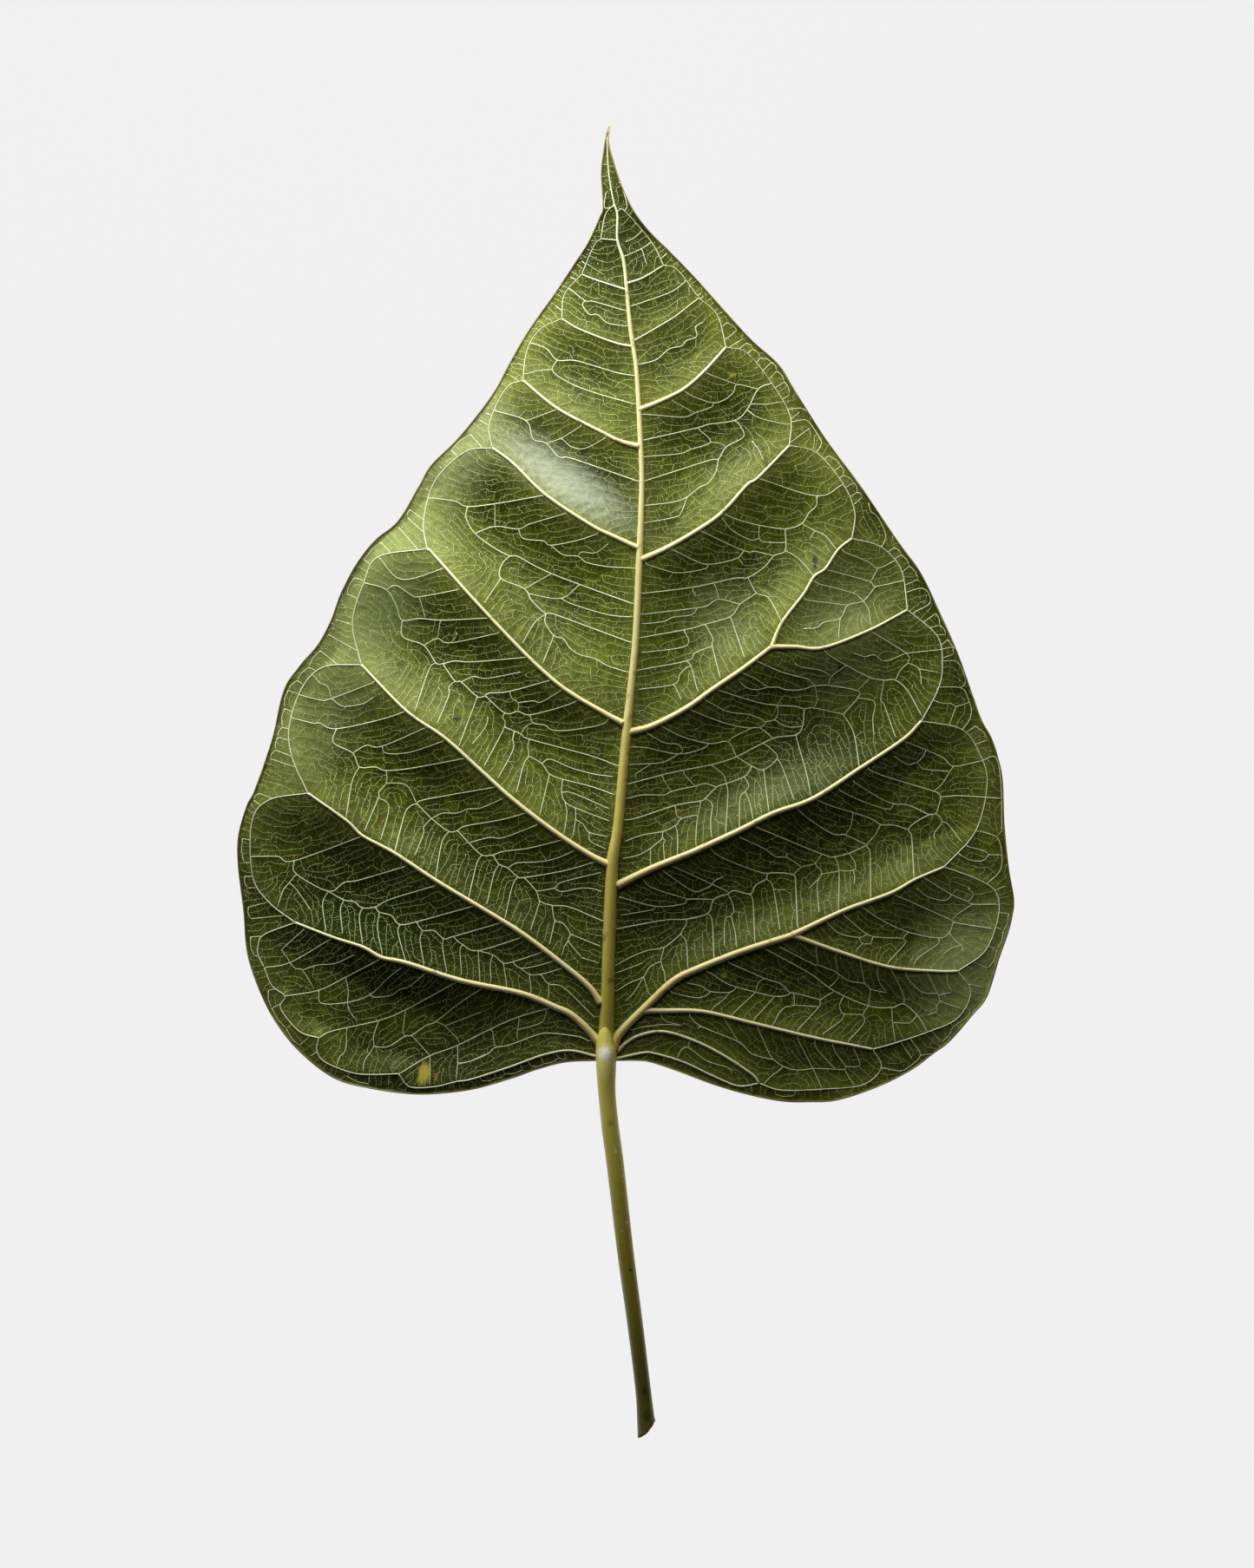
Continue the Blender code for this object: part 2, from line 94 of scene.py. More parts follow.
# The midrib from the tip down: place and width. The side veins from their root out: width at each
# end and the line. The loops that join their ends inside the margin.
mainVeins = {
    "midrib": [
        (-1, 1040, 1), (0, 1012, 1.2), (2, 991, 1.5), (7, 964, 2), (11, 950, 2.6), (11, 922, 3),
        (18, 898, 4), (21, 872, 4), (26, 820, 5), (33, 770, 5), (37, 700, 6), (39, 650, 6),
        (38, 600, 7), (36, 550, 8), (34, 500, 8), (31, 450, 8), (26, 400, 9), (21, 350, 11),
        (12, 250, 12), (5, 200, 14), (1, 100, 15), (0, 50, 16), (-2, 10, 18), (-3, -10, 23),
        (-2, -22, 23),
    ],
    "sideVeins": [
        (3, 2, [(-7, -18), (-16, -16), (-44, -10), (-74, -15), (-110, -28), (-156, -43), (-174, -46)]),
        (9, 3, [(-4, -14), (-16, 6), (-40, 30), (-60, 40), (-100, 56), (-170, 71), (-232, 91),
                (-260, 97), (-282, 109), (-316, 120), (-360, 137)]),
        (7, 3, [(-8, 44), (-24, 66), (-60, 96), (-100, 126), (-140, 151), (-198, 186), (-245, 217),
                (-282, 237), (-300, 254), (-345, 286)]),
        (7, 3, [(4, 203), (-20, 215), (-60, 241), (-108, 278), (-148, 314), (-188, 350),
                (-232, 381), (-284, 434)]),
        (6, 3, [(18, 366), (-4, 378), (-50, 406), (-92, 443), (-150, 504), (-200, 560),
                (-208, 567)]),
        (5, 3, [(36, 567), (6, 581), (-20, 594), (-72, 629), (-110, 666), (-133, 683)]),
        (5, 3, [(36, 684), (14, 690), (-6, 700), (-58, 728), (-98, 761)]),
        (2.6, 1.6, [(28, 799), (12, 802), (-8, 809), (-36, 821), (-53, 832)]),
        (2, 1.2, [(21, 864), (-14, 876), (-30, 883)]),
        (1, 0.9, [(11, 921), (-8, 923)]),
        (3, 2, [(4, -20), (11, -19), (38, -13), (52, -13), (86, -23), (120, -39), (150, -51), (174, -48)]),
        (4, 3, [(5, -15), (11, -11), (20, -2), (35, 7), (62, 12), (95, 3), (130, -14), (165, -37),
                (174, -48)]),
        (6, 3, [(38, 36), (68, 36), (96, 36), (120, 33), (169, 21), (235, 5), (280, -4),
                (305, -9)]),
        (10, 7, [(6, -8), (10, 4), (20, 17), (45, 42), (75, 70), (100, 83), (150, 103), (212, 123)]),
        (6, 3, [(212, 123), (271, 151), (325, 171), (354, 187), (387, 201)]),
        (5, 3, [(212, 123), (268, 103), (324, 86), (380, 81), (403, 81)]),
        (8, 4, [(10, 180), (51, 200), (100, 220), (150, 243), (190, 263), (236, 280), (289, 314),
                (340, 348), (361, 369)]),
        (7, 5, [(24, 356), (50, 363), (89, 383), (120, 405), (155, 429), (188, 454)]),
        (4, 3, [(188, 454), (200, 482), (225, 515), (237, 535), (250, 544), (265, 566),
                (281, 579)]),
        (5, 3, [(188, 454), (215, 454), (247, 453), (300, 473), (345, 497)]),
        (6, 3, [(38, 554), (65, 566), (100, 586), (131, 608), (160, 640), (172, 648), (209, 686)]),
        (5, 3, [(35, 726), (62, 737), (87, 750), (110, 770), (136, 799)]),
        (1.4, 1.2, [(27, 804), (50, 817), (76, 833), (90, 844), (105, 856)]),
        (2.2, 1.3, [(20, 871), (40, 878), (64, 893)]),
    ],
    "loops": [
        [(-174, -46), (-200, -52), (-228, -52), (-241, -37)],
        [(-241, -37), (-270, -38), (-294, -36), (-325, -24), (-335, -11), (-333, 4)],
        [(-333, 4), (-356, 12), (-377, 38), (-372, 52), (-387, 64), (-396, 85)],
        [(-396, 85), (-403, 100), (-403, 110), (-396, 123), (-360, 137)],
        [(-360, 137), (-390, 160), (-409, 190), (-410, 252), (-390, 278), (-345, 286)],
        [(-345, 286), (-363, 326), (-367, 362), (-353, 406), (-328, 431), (-284, 434)],
        [(-284, 434), (-294, 482), (-281, 528), (-264, 558), (-208, 567)],
        [(-208, 567), (-212, 600), (-199, 646), (-164, 679), (-133, 683)],
        [(-133, 683), (-136, 712), (-117, 752), (-98, 761)],
        [(-98, 761), (-93, 796), (-78, 820), (-53, 832)],
        [(-53, 832), (-50, 860), (-30, 883)], [(-30, 883), (-16, 915), (-8, 923)],
        [(-8, 923), (-3, 950), (7, 962)],
        [(174, -48), (200, -56), (247, -55), (294, -50), (315, -30), (305, -9)],
        [(305, -9), (330, -2), (369, 11), (403, 27), (418, 57), (403, 81)],
        [(403, 81), (435, 105), (450, 145), (447, 172), (425, 187), (387, 201)],
        [(387, 201), (424, 243), (437, 297), (429, 330), (408, 359), (361, 369)],
        [(361, 369), (381, 408), (385, 438), (379, 467), (345, 497)],
        [(345, 497), (338, 543), (315, 569), (281, 579)],
        [(281, 579), (284, 610), (270, 643), (240, 678), (209, 686)],
        [(209, 686), (210, 720), (189, 758), (160, 793), (136, 799)],
        [(136, 799), (126, 836), (105, 856)], [(105, 856), (80, 888), (64, 893)],
        [(64, 893), (50, 920), (19, 955), (11, 954)],
    ],
    "loopWidths": {550: 1.35, 850: 0.9},  # the loops thin out towards the tip
    "standProud": 0.42,  # a vein's height as a share of its width
    "flare": 0.35,  # how much wider a side vein is where it leaves the midrib
    "flareLength": 1.6 * mm,
}

# The cross veins that show from a step away, read one by one, in groups named for the side
# veins they lie between
crossVeins = {
    "thinBasal": [
        [(-20, 0), (-34, 6), (-68, 10), (-84, 7), (-114, -4), (-130, -7), (-138, -14), (-156, -22),
         (-172, -26)], [(-64, 40), (-112, 25), (-172, -4), (-206, -17), (-240, -37)],
        [(-172, 70), (-234, 36), (-264, 24), (-317, 12), (-333, 4)],
        [(-260, 96), (-302, 74), (-333, 59), (-372, 52)], [(-316, 120), (-366, 91), (-396, 85)],
    ],
    "tip": [
        [(7, 960), (0, 958), (-4, 960), (-2, 978)], [(19, 955), (22, 962), (15, 985), (11, 988)],
        [(39, 932), (30, 924), (20, 919)], [(50, 920), (39, 912), (20, 903)], [(39, 912), (45, 892)],
        [(23, 844), (70, 861), (90, 875)],
    ],
    "rightMargin": [
        [(438, 183), (450, 194), (454, 205), (453, 222), (447, 236), (424, 243)],
        [(408, 359), (415, 368), (419, 380), (415, 395), (407, 407), (381, 408)],
        [(407, 407), (412, 415), (407, 430), (400, 438), (385, 438)],
        [(315, -30), (336, -34), (346, -30), (360, -16), (350, 1)], [(336, -34), (336, -40)],
        [(360, -16), (375, -14)], [(430, 323), (447, 327), (453, 295), (454, 240)],
        [(315, 569), (320, 580), (318, 590), (310, 605), (303, 610), (300, 620)],
        [(345, 518), (362, 522), (370, 515), (370, 504), (352, 494)],
        [(240, 678), (246, 689), (241, 700), (230, 715), (218, 715)], [(208, 728), (225, 729), (235, 718)],
        [(381, 451), (397, 454), (401, 450)], [(438, 215), (452, 215)],
        [(415, 224), (432, 220), (438, 215), (431, 208), (417, 209), (405, 215)],
        [(415, 390), (401, 386), (395, 389), (380, 390)], [(401, 386), (392, 362)],
    ],
    "leftTip": [
        [(-43, 866), (-26, 852), (-16, 851), (20, 840)],
        [(-26, 852), (-29, 847), (-21, 836), (-12, 836), (0, 826), (23, 822)],
        [(-84, 803), (-70, 797), (-58, 784), (-36, 783), (10, 769), (32, 765)],
        [(-58, 784), (-64, 773), (-52, 762), (-24, 749), (32, 732)], [(-64, 773), (-80, 772), (-94, 768)],
    ],
    "left6to5": [
        [(-130, 726), (-94, 714), (-86, 693), (-71, 688), (-56, 672), (-40, 670), (34, 644)],
        [(-94, 714), (-58, 727)], [(-71, 688), (-53, 694), (-30, 708)],
        [(-53, 694), (-42, 684), (-26, 682), (-2, 694)],
    ],
    "left5to4": [
        [(-204, 626), (-176, 622), (-162, 616), (-130, 619), (-72, 628)],
        [(-162, 616), (-163, 602), (-153, 585), (-132, 569), (-113, 559), (-103, 558), (-66, 539),
         (29, 503)], [(-153, 585), (-130, 593), (-103, 590), (-88, 596), (-48, 607)],
        [(-130, 619), (-130, 593)],
        [(-103, 590), (-97, 579), (-74, 576), (-66, 571), (-36, 576), (-10, 584)],
        [(-66, 571), (-51, 560), (-34, 558), (-24, 551), (0, 546), (30, 544)],
        [(-34, 558), (-30, 563), (-14, 562), (0, 572)],
        [(-113, 559), (-122, 549), (-123, 533), (-96, 521), (-88, 508), (-71, 492), (-60, 491), (26, 459)],
        [(-123, 533), (-142, 504)], [(-96, 521), (-66, 538)], [(-90, 515), (-54, 510), (-32, 526)],
        [(-54, 510), (-40, 503), (0, 491), (26, 488)], [(-71, 492), (-84, 482), (-98, 458)],
        [(-71, 492), (-72, 482), (-62, 467), (-51, 463), (-43, 452), (-32, 445), (-14, 440), (0, 432),
         (22, 425)], [(-62, 467), (-75, 434)],
    ],
    "left4to3": [
        [(-280, 528), (-255, 520), (-243, 500), (-237, 485), (-216, 487), (-190, 485), (-137, 487)],
        [(-237, 485), (-236, 466), (-212, 456), (-198, 436), (-190, 435), (-176, 438), (-154, 437),
         (-92, 442)], [(-212, 456), (-196, 464), (-181, 459), (-124, 470)], [(-193, 484), (-196, 464)],
        [(-181, 459), (-175, 466), (-174, 471)], [(-198, 436), (-206, 428), (-222, 379)],
        [(-190, 435), (-176, 415), (-169, 414), (-150, 397), (-141, 398), (-136, 401), (-113, 403),
         (-64, 416)], [(-169, 414), (-154, 420), (-139, 418), (-100, 425)],
        [(-176, 415), (-183, 408), (-183, 398), (-196, 366)], [(-150, 397), (-171, 340)],
        [(-141, 398), (-118, 378), (-103, 380), (-89, 376), (-50, 386), (-30, 394)],
        [(-113, 403), (-110, 395), (-103, 390), (-103, 380)],
        [(-103, 390), (-86, 392), (-76, 391), (-52, 405)],
        [(-89, 376), (-86, 367), (-72, 364), (-65, 359), (-47, 358), (-14, 363), (0, 368)],
        [(-118, 378), (-121, 373), (-119, 362), (-142, 317)],
        [(-119, 362), (-100, 354), (-90, 348), (-20, 329), (12, 317)],
        [(-86, 367), (-94, 363), (-100, 354)],
        [(-90, 348), (-92, 340), (-91, 329), (-97, 318), (-105, 286)],
        [(-91, 329), (-76, 320), (-67, 308), (-52, 302), (-20, 294), (8, 284)],
        [(-76, 320), (-66, 325), (-42, 315), (-16, 308), (6, 305)], [(-67, 308), (-78, 261)],
        [(-52, 302), (-53, 287), (-49, 276), (-37, 269), (2, 254)], [(-53, 287), (-40, 286), (2, 268)],
        [(-49, 276), (-47, 262), (-50, 241)], [(-37, 269), (-37, 256), (-40, 236)],
        [(-37, 256), (-28, 250), (-21, 241), (0, 236)], [(-21, 241), (-20, 231), (-2, 222)],
        [(-138, 374), (-139, 366), (-144, 357), (-156, 342)], [(-110, 350), (-109, 336), (-126, 303)],
        [(-186, 545), (-237, 532), (-264, 558)],
        [(-170, 520), (-217, 512), (-226, 514), (-244, 525), (-255, 520)], [(-217, 512), (-210, 488)],
    ],
    "left3Outer": [
        [(-362, 372), (-338, 366), (-333, 367), (-313, 360), (-260, 371), (-232, 380)],
        [(-355, 399), (-330, 393), (-318, 395), (-270, 413)],
        [(-318, 395), (-323, 409), (-332, 413), (-340, 423)],
        [(-318, 395), (-305, 386), (-282, 389), (-270, 396)],
    ],
    "left3to2": [
        [(-313, 360), (-316, 344), (-294, 332), (-286, 316), (-268, 316), (-255, 312), (-224, 315),
         (-164, 326)], [(-294, 332), (-278, 341), (-260, 340), (-207, 362)],
        [(-260, 340), (-255, 332), (-228, 333), (-188, 346)],
        [(-286, 316), (-292, 306), (-296, 292), (-301, 257)],
        [(-255, 312), (-255, 298), (-264, 287), (-264, 281), (-280, 242)],
        [(-255, 298), (-232, 295), (-220, 274)], [(-264, 281), (-252, 270), (-261, 232)],
        [(-129, 293), (-208, 279), (-220, 274), (-227, 271), (-234, 261), (-245, 218)],
        [(-220, 274), (-203, 257), (-183, 242), (-173, 243), (-164, 248), (-120, 256), (-92, 264)],
        [(-203, 257), (-190, 263), (-174, 263), (-160, 268), (-146, 269), (-120, 280)],
        [(-203, 257), (-212, 247), (-212, 240), (-222, 214)], [(-183, 242), (-191, 229), (-198, 188)],
        [(-173, 243), (-160, 229), (-145, 215), (-132, 215), (-120, 219), (-90, 223), (-50, 233)],
        [(-160, 229), (-136, 235), (-120, 235), (-80, 250)], [(-145, 215), (-151, 204), (-160, 165)],
        [(-132, 215), (-125, 204), (-115, 200), (-104, 190), (-96, 189), (-50, 197), (-12, 208)],
        [(-115, 200), (-104, 206), (-80, 207), (-60, 211), (-38, 220)],
        [(-125, 204), (-131, 193), (-139, 158)], [(-104, 190), (-110, 178), (-118, 143)],
        [(-96, 189), (-82, 173), (-78, 162), (-64, 157), (-44, 155), (-5, 139)],
        [(-82, 173), (-62, 177), (-52, 184), (-8, 195)],
        [(-62, 177), (-53, 173), (-30, 177), (-16, 176), (-7, 173)], [(-78, 162), (-89, 128)],
        [(-64, 157), (-61, 140), (-51, 136), (-43, 124), (-45, 116), (-30, 97)], [(-61, 140), (-67, 112)],
        [(-43, 124), (-8, 110)], [(-45, 116), (-50, 110), (-52, 101)], [(-30, 97), (-10, 91)],
    ],
    "left2to1": [
        [(-409, 213), (-380, 213), (-362, 208), (-284, 236)],
        [(-362, 208), (-359, 193), (-322, 173), (-304, 183), (-286, 186), (-232, 202)],
        [(-359, 193), (-367, 183), (-374, 174), (-380, 156)], [(-367, 183), (-358, 174), (-342, 151)],
        [(-322, 173), (-328, 162), (-328, 150), (-324, 126)],
        [(-322, 173), (-304, 163), (-292, 161), (-283, 154), (-268, 155), (-250, 164), (-197, 180)],
        [(-304, 163), (-308, 152), (-305, 124)], [(-283, 154), (-286, 142), (-282, 112)],
        [(-268, 155), (-263, 149), (-249, 145), (-240, 135), (-220, 138), (-152, 157)],
        [(-263, 149), (-265, 130), (-259, 100)], [(-240, 135), (-241, 124), (-232, 92)],
        [(-220, 138), (-213, 128), (-200, 128), (-189, 119), (-178, 121), (-120, 138)],
        [(-213, 128), (-216, 117), (-211, 88)], [(-189, 119), (-190, 108), (-185, 80)],
        [(-178, 121), (-167, 112), (-149, 105), (-100, 120)], [(-167, 112), (-170, 105), (-168, 78)],
        [(-149, 105), (-147, 70)], [(-149, 105), (-132, 100), (-120, 91), (-110, 92), (-76, 103)],
        [(-132, 100), (-135, 90), (-134, 70)], [(-120, 91), (-116, 64)],
        [(-110, 92), (-100, 85), (-80, 88), (-60, 94)], [(-100, 85), (-90, 78), (-77, 78), (-52, 85)],
        [(-90, 78), (-88, 57)], [(-77, 78), (-68, 67), (-50, 62), (-15, 28)], [(-68, 67), (-68, 51)],
    ],
    "leftLobe": [
        [(-333, 59), (-330, 44), (-300, 45), (-274, 54), (-250, 76), (-236, 86)],
        [(-302, 74), (-299, 57), (-300, 45), (-297, 34), (-289, 24)],
        [(-274, 54), (-269, 51), (-250, 53), (-240, 60), (-228, 64), (-210, 79)],
        [(-264, 24), (-270, 6), (-270, -6), (-280, -22), (-282, -34)],
        [(-270, -6), (-253, -6), (-234, 6), (-226, 7), (-210, 18), (-198, 23), (-170, 45), (-144, 62)],
        [(-233, 36), (-236, 13), (-234, 6)], [(-226, 7), (-205, -16)], [(-198, 23), (-188, 18), (-172, 2)],
        [(-188, 18), (-146, 34)], [(-173, -4), (-173, -25), (-175, -46)],
        [(-173, -25), (-160, -23), (-140, -14)], [(-205, -16), (-205, -50)],
        [(-301, 15), (-302, -9), (-309, -18), (-312, -28)],
        [(-366, 91), (-360, 84), (-352, 82), (-340, 64)], [(-352, 82), (-334, 88), (-314, 90), (-292, 100)],
        [(-376, 106), (-366, 91)], [(-376, 106), (-350, 129)], [(-133, 14), (-130, -7)],
        [(-102, 26), (-105, 4)], [(-70, 36), (-77, 22), (-103, 14)],
    ],
    "right7to5": [
        [(36, 778), (56, 784), (70, 796), (85, 800), (90, 806), (102, 811), (101, 822), (110, 828)],
    ],
    "right5to4": [
        [(41, 691), (103, 706), (115, 710), (146, 715), (160, 727), (173, 751), (189, 758)],
        [(146, 715), (152, 709), (156, 696), (136, 684), (127, 670), (115, 668), (42, 644)],
        [(127, 670), (124, 655), (115, 642), (105, 637), (91, 626), (75, 620), (44, 616)],
        [(103, 706), (118, 690), (95, 681), (82, 676), (42, 672)], [(95, 681), (92, 687)],
        [(118, 690), (130, 688), (136, 684)], [(91, 626), (85, 610), (78, 603), (42, 596)],
        [(87, 748), (100, 741), (121, 735), (135, 739), (145, 748), (149, 756), (173, 751)],
        [(121, 735), (119, 730), (100, 723), (85, 718), (42, 721)], [(100, 723), (73, 737)],
        [(149, 756), (114, 768)], [(166, 691), (174, 680), (179, 668)],
        [(166, 722), (180, 716), (208, 710)], [(165, 734), (185, 734), (200, 737)],
    ],
    "right4to3": [
        [(172, 648), (240, 628), (270, 641)],
        [(240, 628), (240, 617), (231, 608), (223, 596), (204, 590), (174, 594), (150, 600), (132, 607)],
        [(204, 590), (204, 565), (191, 559), (180, 546), (161, 534), (145, 533), (100, 523), (40, 515)],
        [(204, 565), (215, 559), (225, 550), (237, 535)], [(223, 596), (238, 588), (250, 582), (263, 566)],
        [(238, 588), (232, 578)], [(191, 559), (170, 564), (156, 565), (104, 588)],
        [(156, 565), (150, 557), (135, 552), (115, 549), (100, 553), (71, 567)],
        [(115, 549), (112, 544), (83, 539), (65, 542), (43, 549)], [(150, 557), (156, 548)],
        [(174, 594), (174, 580), (180, 575), (204, 574)], [(174, 580), (165, 577), (143, 588), (131, 602)],
        [(161, 534), (171, 516), (185, 510), (200, 482)],
        [(171, 516), (152, 503), (141, 489), (112, 480), (90, 474), (36, 464)],
        [(152, 503), (128, 509), (115, 502), (103, 499), (40, 491)], [(128, 509), (123, 526)],
        [(103, 499), (96, 491), (75, 488), (64, 483), (40, 480)], [(141, 489), (157, 441)],
        [(112, 480), (121, 463), (120, 455), (129, 418)], [(97, 520), (102, 511)],
        [(38, 447), (83, 453), (93, 460), (88, 472)], [(34, 427), (91, 438), (100, 447), (120, 455)],
        [(91, 438), (96, 430), (103, 403)], [(36, 405), (76, 411), (83, 423), (93, 432)],
        [(76, 411), (85, 392)],
    ],
    "right3Fork": [
        [(251, 543), (300, 530), (308, 524), (341, 531)],
        [(308, 524), (294, 507), (276, 502), (267, 487), (248, 482), (240, 476), (225, 475)],
        [(294, 507), (300, 497), (302, 480)], [(276, 502), (226, 508)], [(267, 487), (265, 465)],
        [(294, 507), (282, 516), (240, 527)], [(282, 516), (290, 522)],
        [(331, 554), (311, 545), (300, 552), (270, 564)], [(311, 545), (303, 530)],
    ],
    "right3to2": [
        [(21, 296), (75, 310), (120, 319), (148, 328), (190, 349), (216, 353), (224, 363), (226, 383)],
        [(226, 383), (238, 384), (271, 377)], [(226, 383), (215, 386), (195, 387), (170, 391), (124, 405)],
        [(271, 377), (283, 355), (289, 315)],
        [(271, 377), (288, 396), (287, 404), (254, 410), (238, 410), (230, 417), (200, 425), (170, 438)],
        [(287, 404), (302, 419)], [(254, 410), (257, 420), (274, 433)],
        [(257, 420), (245, 427), (222, 431), (215, 435)],
        [(246, 453), (255, 444), (274, 433), (302, 419), (318, 416), (331, 416), (345, 404), (361, 375)],
        [(238, 410), (241, 394), (237, 384)],
        [(238, 410), (222, 405), (205, 405), (195, 408), (184, 408), (170, 417), (152, 425)],
        [(184, 408), (172, 405), (160, 407), (150, 415)], [(216, 353), (228, 310), (233, 283)],
        [(190, 349), (175, 361), (160, 361), (130, 368), (91, 383)],
        [(175, 361), (181, 368), (164, 376), (137, 380), (110, 394)],
        [(181, 368), (192, 371), (196, 380), (195, 387)], [(192, 371), (200, 365), (210, 362), (224, 363)],
        [(148, 328), (138, 345), (117, 343), (85, 351), (58, 365)],
        [(117, 343), (108, 337), (81, 331), (45, 338), (28, 339)], [(138, 345), (145, 351), (164, 360)],
        [(81, 331), (86, 334), (81, 342), (65, 344), (43, 356)],
        [(81, 331), (65, 322), (50, 320), (27, 319)], [(50, 320), (30, 307)],
        [(148, 328), (166, 317), (179, 313), (195, 326), (190, 335), (180, 343)], [(179, 313), (185, 264)],
        [(195, 326), (201, 315), (214, 278)],
        [(166, 317), (157, 305), (136, 297), (125, 293), (112, 280), (107, 277), (78, 272), (35, 258),
         (20, 255)], [(136, 297), (138, 285), (135, 238)], [(136, 297), (133, 307), (120, 318)],
        [(157, 305), (162, 295), (158, 288), (152, 280), (151, 245)], [(158, 288), (163, 275), (167, 255)],
        [(125, 293), (112, 297), (100, 294), (73, 288), (65, 284), (40, 284), (23, 280)],
        [(73, 288), (63, 303)], [(100, 294), (86, 310)], [(107, 277), (102, 250), (101, 225)],
        [(112, 280), (120, 273), (118, 254), (119, 235)],
        [(103, 261), (85, 257), (78, 249), (63, 242), (40, 238), (20, 231)],
        [(85, 257), (79, 261), (78, 270)], [(78, 249), (80, 238), (80, 215)],
        [(63, 242), (63, 234), (67, 232), (64, 228), (65, 210)],
        [(63, 234), (49, 223), (35, 215), (17, 211)], [(49, 223), (49, 200)],
    ],
    "right3Outer": [
        [(301, 473), (343, 447), (345, 436), (337, 428), (331, 416)], [(343, 447), (381, 451)],
        [(343, 447), (319, 438), (307, 445), (295, 443), (283, 447)],
        [(318, 416), (314, 393), (318, 388), (331, 350)], [(288, 396), (307, 391), (305, 372), (306, 352)],
        [(345, 436), (358, 429), (361, 410)], [(358, 429), (380, 425)],
    ],
    "right2to1High": [
        [(237, 280), (255, 272), (300, 258), (314, 250), (330, 249), (346, 244)],
        [(168, 248), (246, 216), (261, 213), (278, 217), (298, 226)],
        [(246, 216), (238, 205), (223, 201), (213, 192)],
        [(223, 201), (206, 212), (193, 213), (180, 222), (150, 236)], [(206, 212), (206, 220)],
        [(186, 194), (175, 195), (140, 208), (125, 216), (116, 224)],
        [(216, 270), (230, 257), (255, 241), (265, 238), (273, 238), (299, 226)],
        [(273, 238), (279, 247), (282, 260)], [(314, 250), (308, 238), (298, 226), (302, 216), (302, 164)],
        [(298, 314), (320, 305), (376, 288), (384, 282), (405, 283), (450, 280)],
        [(384, 282), (378, 263), (370, 261), (355, 253), (346, 244), (350, 235), (352, 188)],
        [(370, 261), (347, 272), (329, 274), (310, 282), (281, 300)],
        [(329, 274), (325, 268), (312, 270), (285, 280), (265, 290)],
        [(378, 263), (385, 253), (376, 240), (377, 232)], [(385, 253), (392, 250), (407, 230)],
        [(338, 347), (384, 328), (398, 317), (430, 323)], [(398, 317), (385, 297), (376, 289)],
        [(393, 311), (364, 314), (356, 321), (345, 319), (330, 328)], [(356, 321), (365, 330)],
        [(238, 205), (246, 193), (231, 176)], [(246, 193), (241, 180), (243, 148)],
        [(246, 193), (265, 196)], [(261, 213), (266, 197), (265, 152)],
        [(266, 197), (282, 197), (285, 204), (278, 217)], [(282, 197), (284, 190), (283, 180)],
    ],
    "right2to1Near": [
        [(9, 130), (65, 140), (90, 141), (115, 148), (122, 164), (138, 170), (145, 174), (164, 170),
         (170, 180), (182, 187), (186, 194), (213, 192), (216, 180), (218, 131)],
        [(115, 148), (120, 138), (122, 95)], [(164, 170), (167, 160), (169, 114)],
        [(13, 167), (55, 156), (88, 159), (92, 164), (122, 164)], [(55, 156), (50, 152), (15, 146)],
        [(40, 187), (52, 177), (92, 164)],
        [(63, 197), (97, 174), (111, 176), (120, 181), (122, 185), (132, 190)], [(73, 203), (138, 173)],
        [(90, 141), (90, 135), (84, 124), (90, 115), (92, 85)],
        [(84, 124), (65, 109), (45, 105), (25, 97), (9, 88)], [(65, 109), (61, 93), (65, 80), (66, 68)],
        [(61, 93), (48, 86), (41, 75), (25, 68), (9, 58)], [(41, 75), (47, 55)],
        [(41, 75), (30, 57), (20, 47)], [(40, 91), (9, 79)],
        [(138, 170), (143, 160), (145, 150), (142, 144), (146, 128), (148, 108)],
        [(142, 144), (136, 143), (134, 132), (134, 110)], [(182, 187), (190, 178), (198, 128)],
        [(192, 175), (205, 175)],
    ],
    "rightLobeUpper": [
        [(175, 110), (230, 80), (261, 58), (300, 41), (327, 39), (341, 43), (358, 28), (368, 11)],
        [(261, 58), (245, 48), (243, 40), (217, 12)],
        [(245, 48), (214, 56), (210, 56), (198, 67), (180, 73), (137, 92)],
        [(180, 73), (173, 68), (170, 57)],
        [(210, 56), (205, 53), (192, 52), (170, 57), (148, 63), (135, 68), (120, 78), (112, 81)],
        [(148, 63), (140, 57), (118, 58), (108, 64), (91, 68)], [(118, 58), (112, 53), (100, 51), (72, 57)],
        [(140, 57), (132, 48), (120, 39)], [(192, 52), (168, 26)], [(170, 57), (142, 31)],
        [(214, 56), (214, 42), (205, 40), (198, 34), (190, 20)], [(214, 42), (243, 40)],
        [(196, 110), (235, 90), (241, 89), (239, 108)], [(241, 89), (265, 78), (260, 67), (255, 64)],
        [(265, 78), (261, 99)], [(265, 78), (278, 70), (296, 67)],
        [(290, 93), (296, 67), (302, 60), (300, 41)], [(302, 60), (321, 56)],
        [(310, 83), (312, 70), (321, 56)], [(341, 43), (340, 55), (325, 85)],
        [(300, 41), (294, 31), (296, 25), (292, 17), (276, 0)],
        [(294, 31), (272, 32), (267, 40), (268, 47)], [(272, 32), (268, 24), (246, 8)],
        [(327, 39), (328, 22), (331, -2)], [(328, 22), (346, 21), (352, 25)],
        [(366, 82), (380, 55), (384, 46), (407, 38)], [(390, 78), (392, 65), (396, 57), (385, 55)],
        [(384, 46), (379, 42), (379, 35), (368, 30)], [(342, 83), (346, 72), (362, 57), (380, 55)],
    ],
    "right1Fork": [
        [(328, 170), (395, 140), (398, 137), (442, 130)],
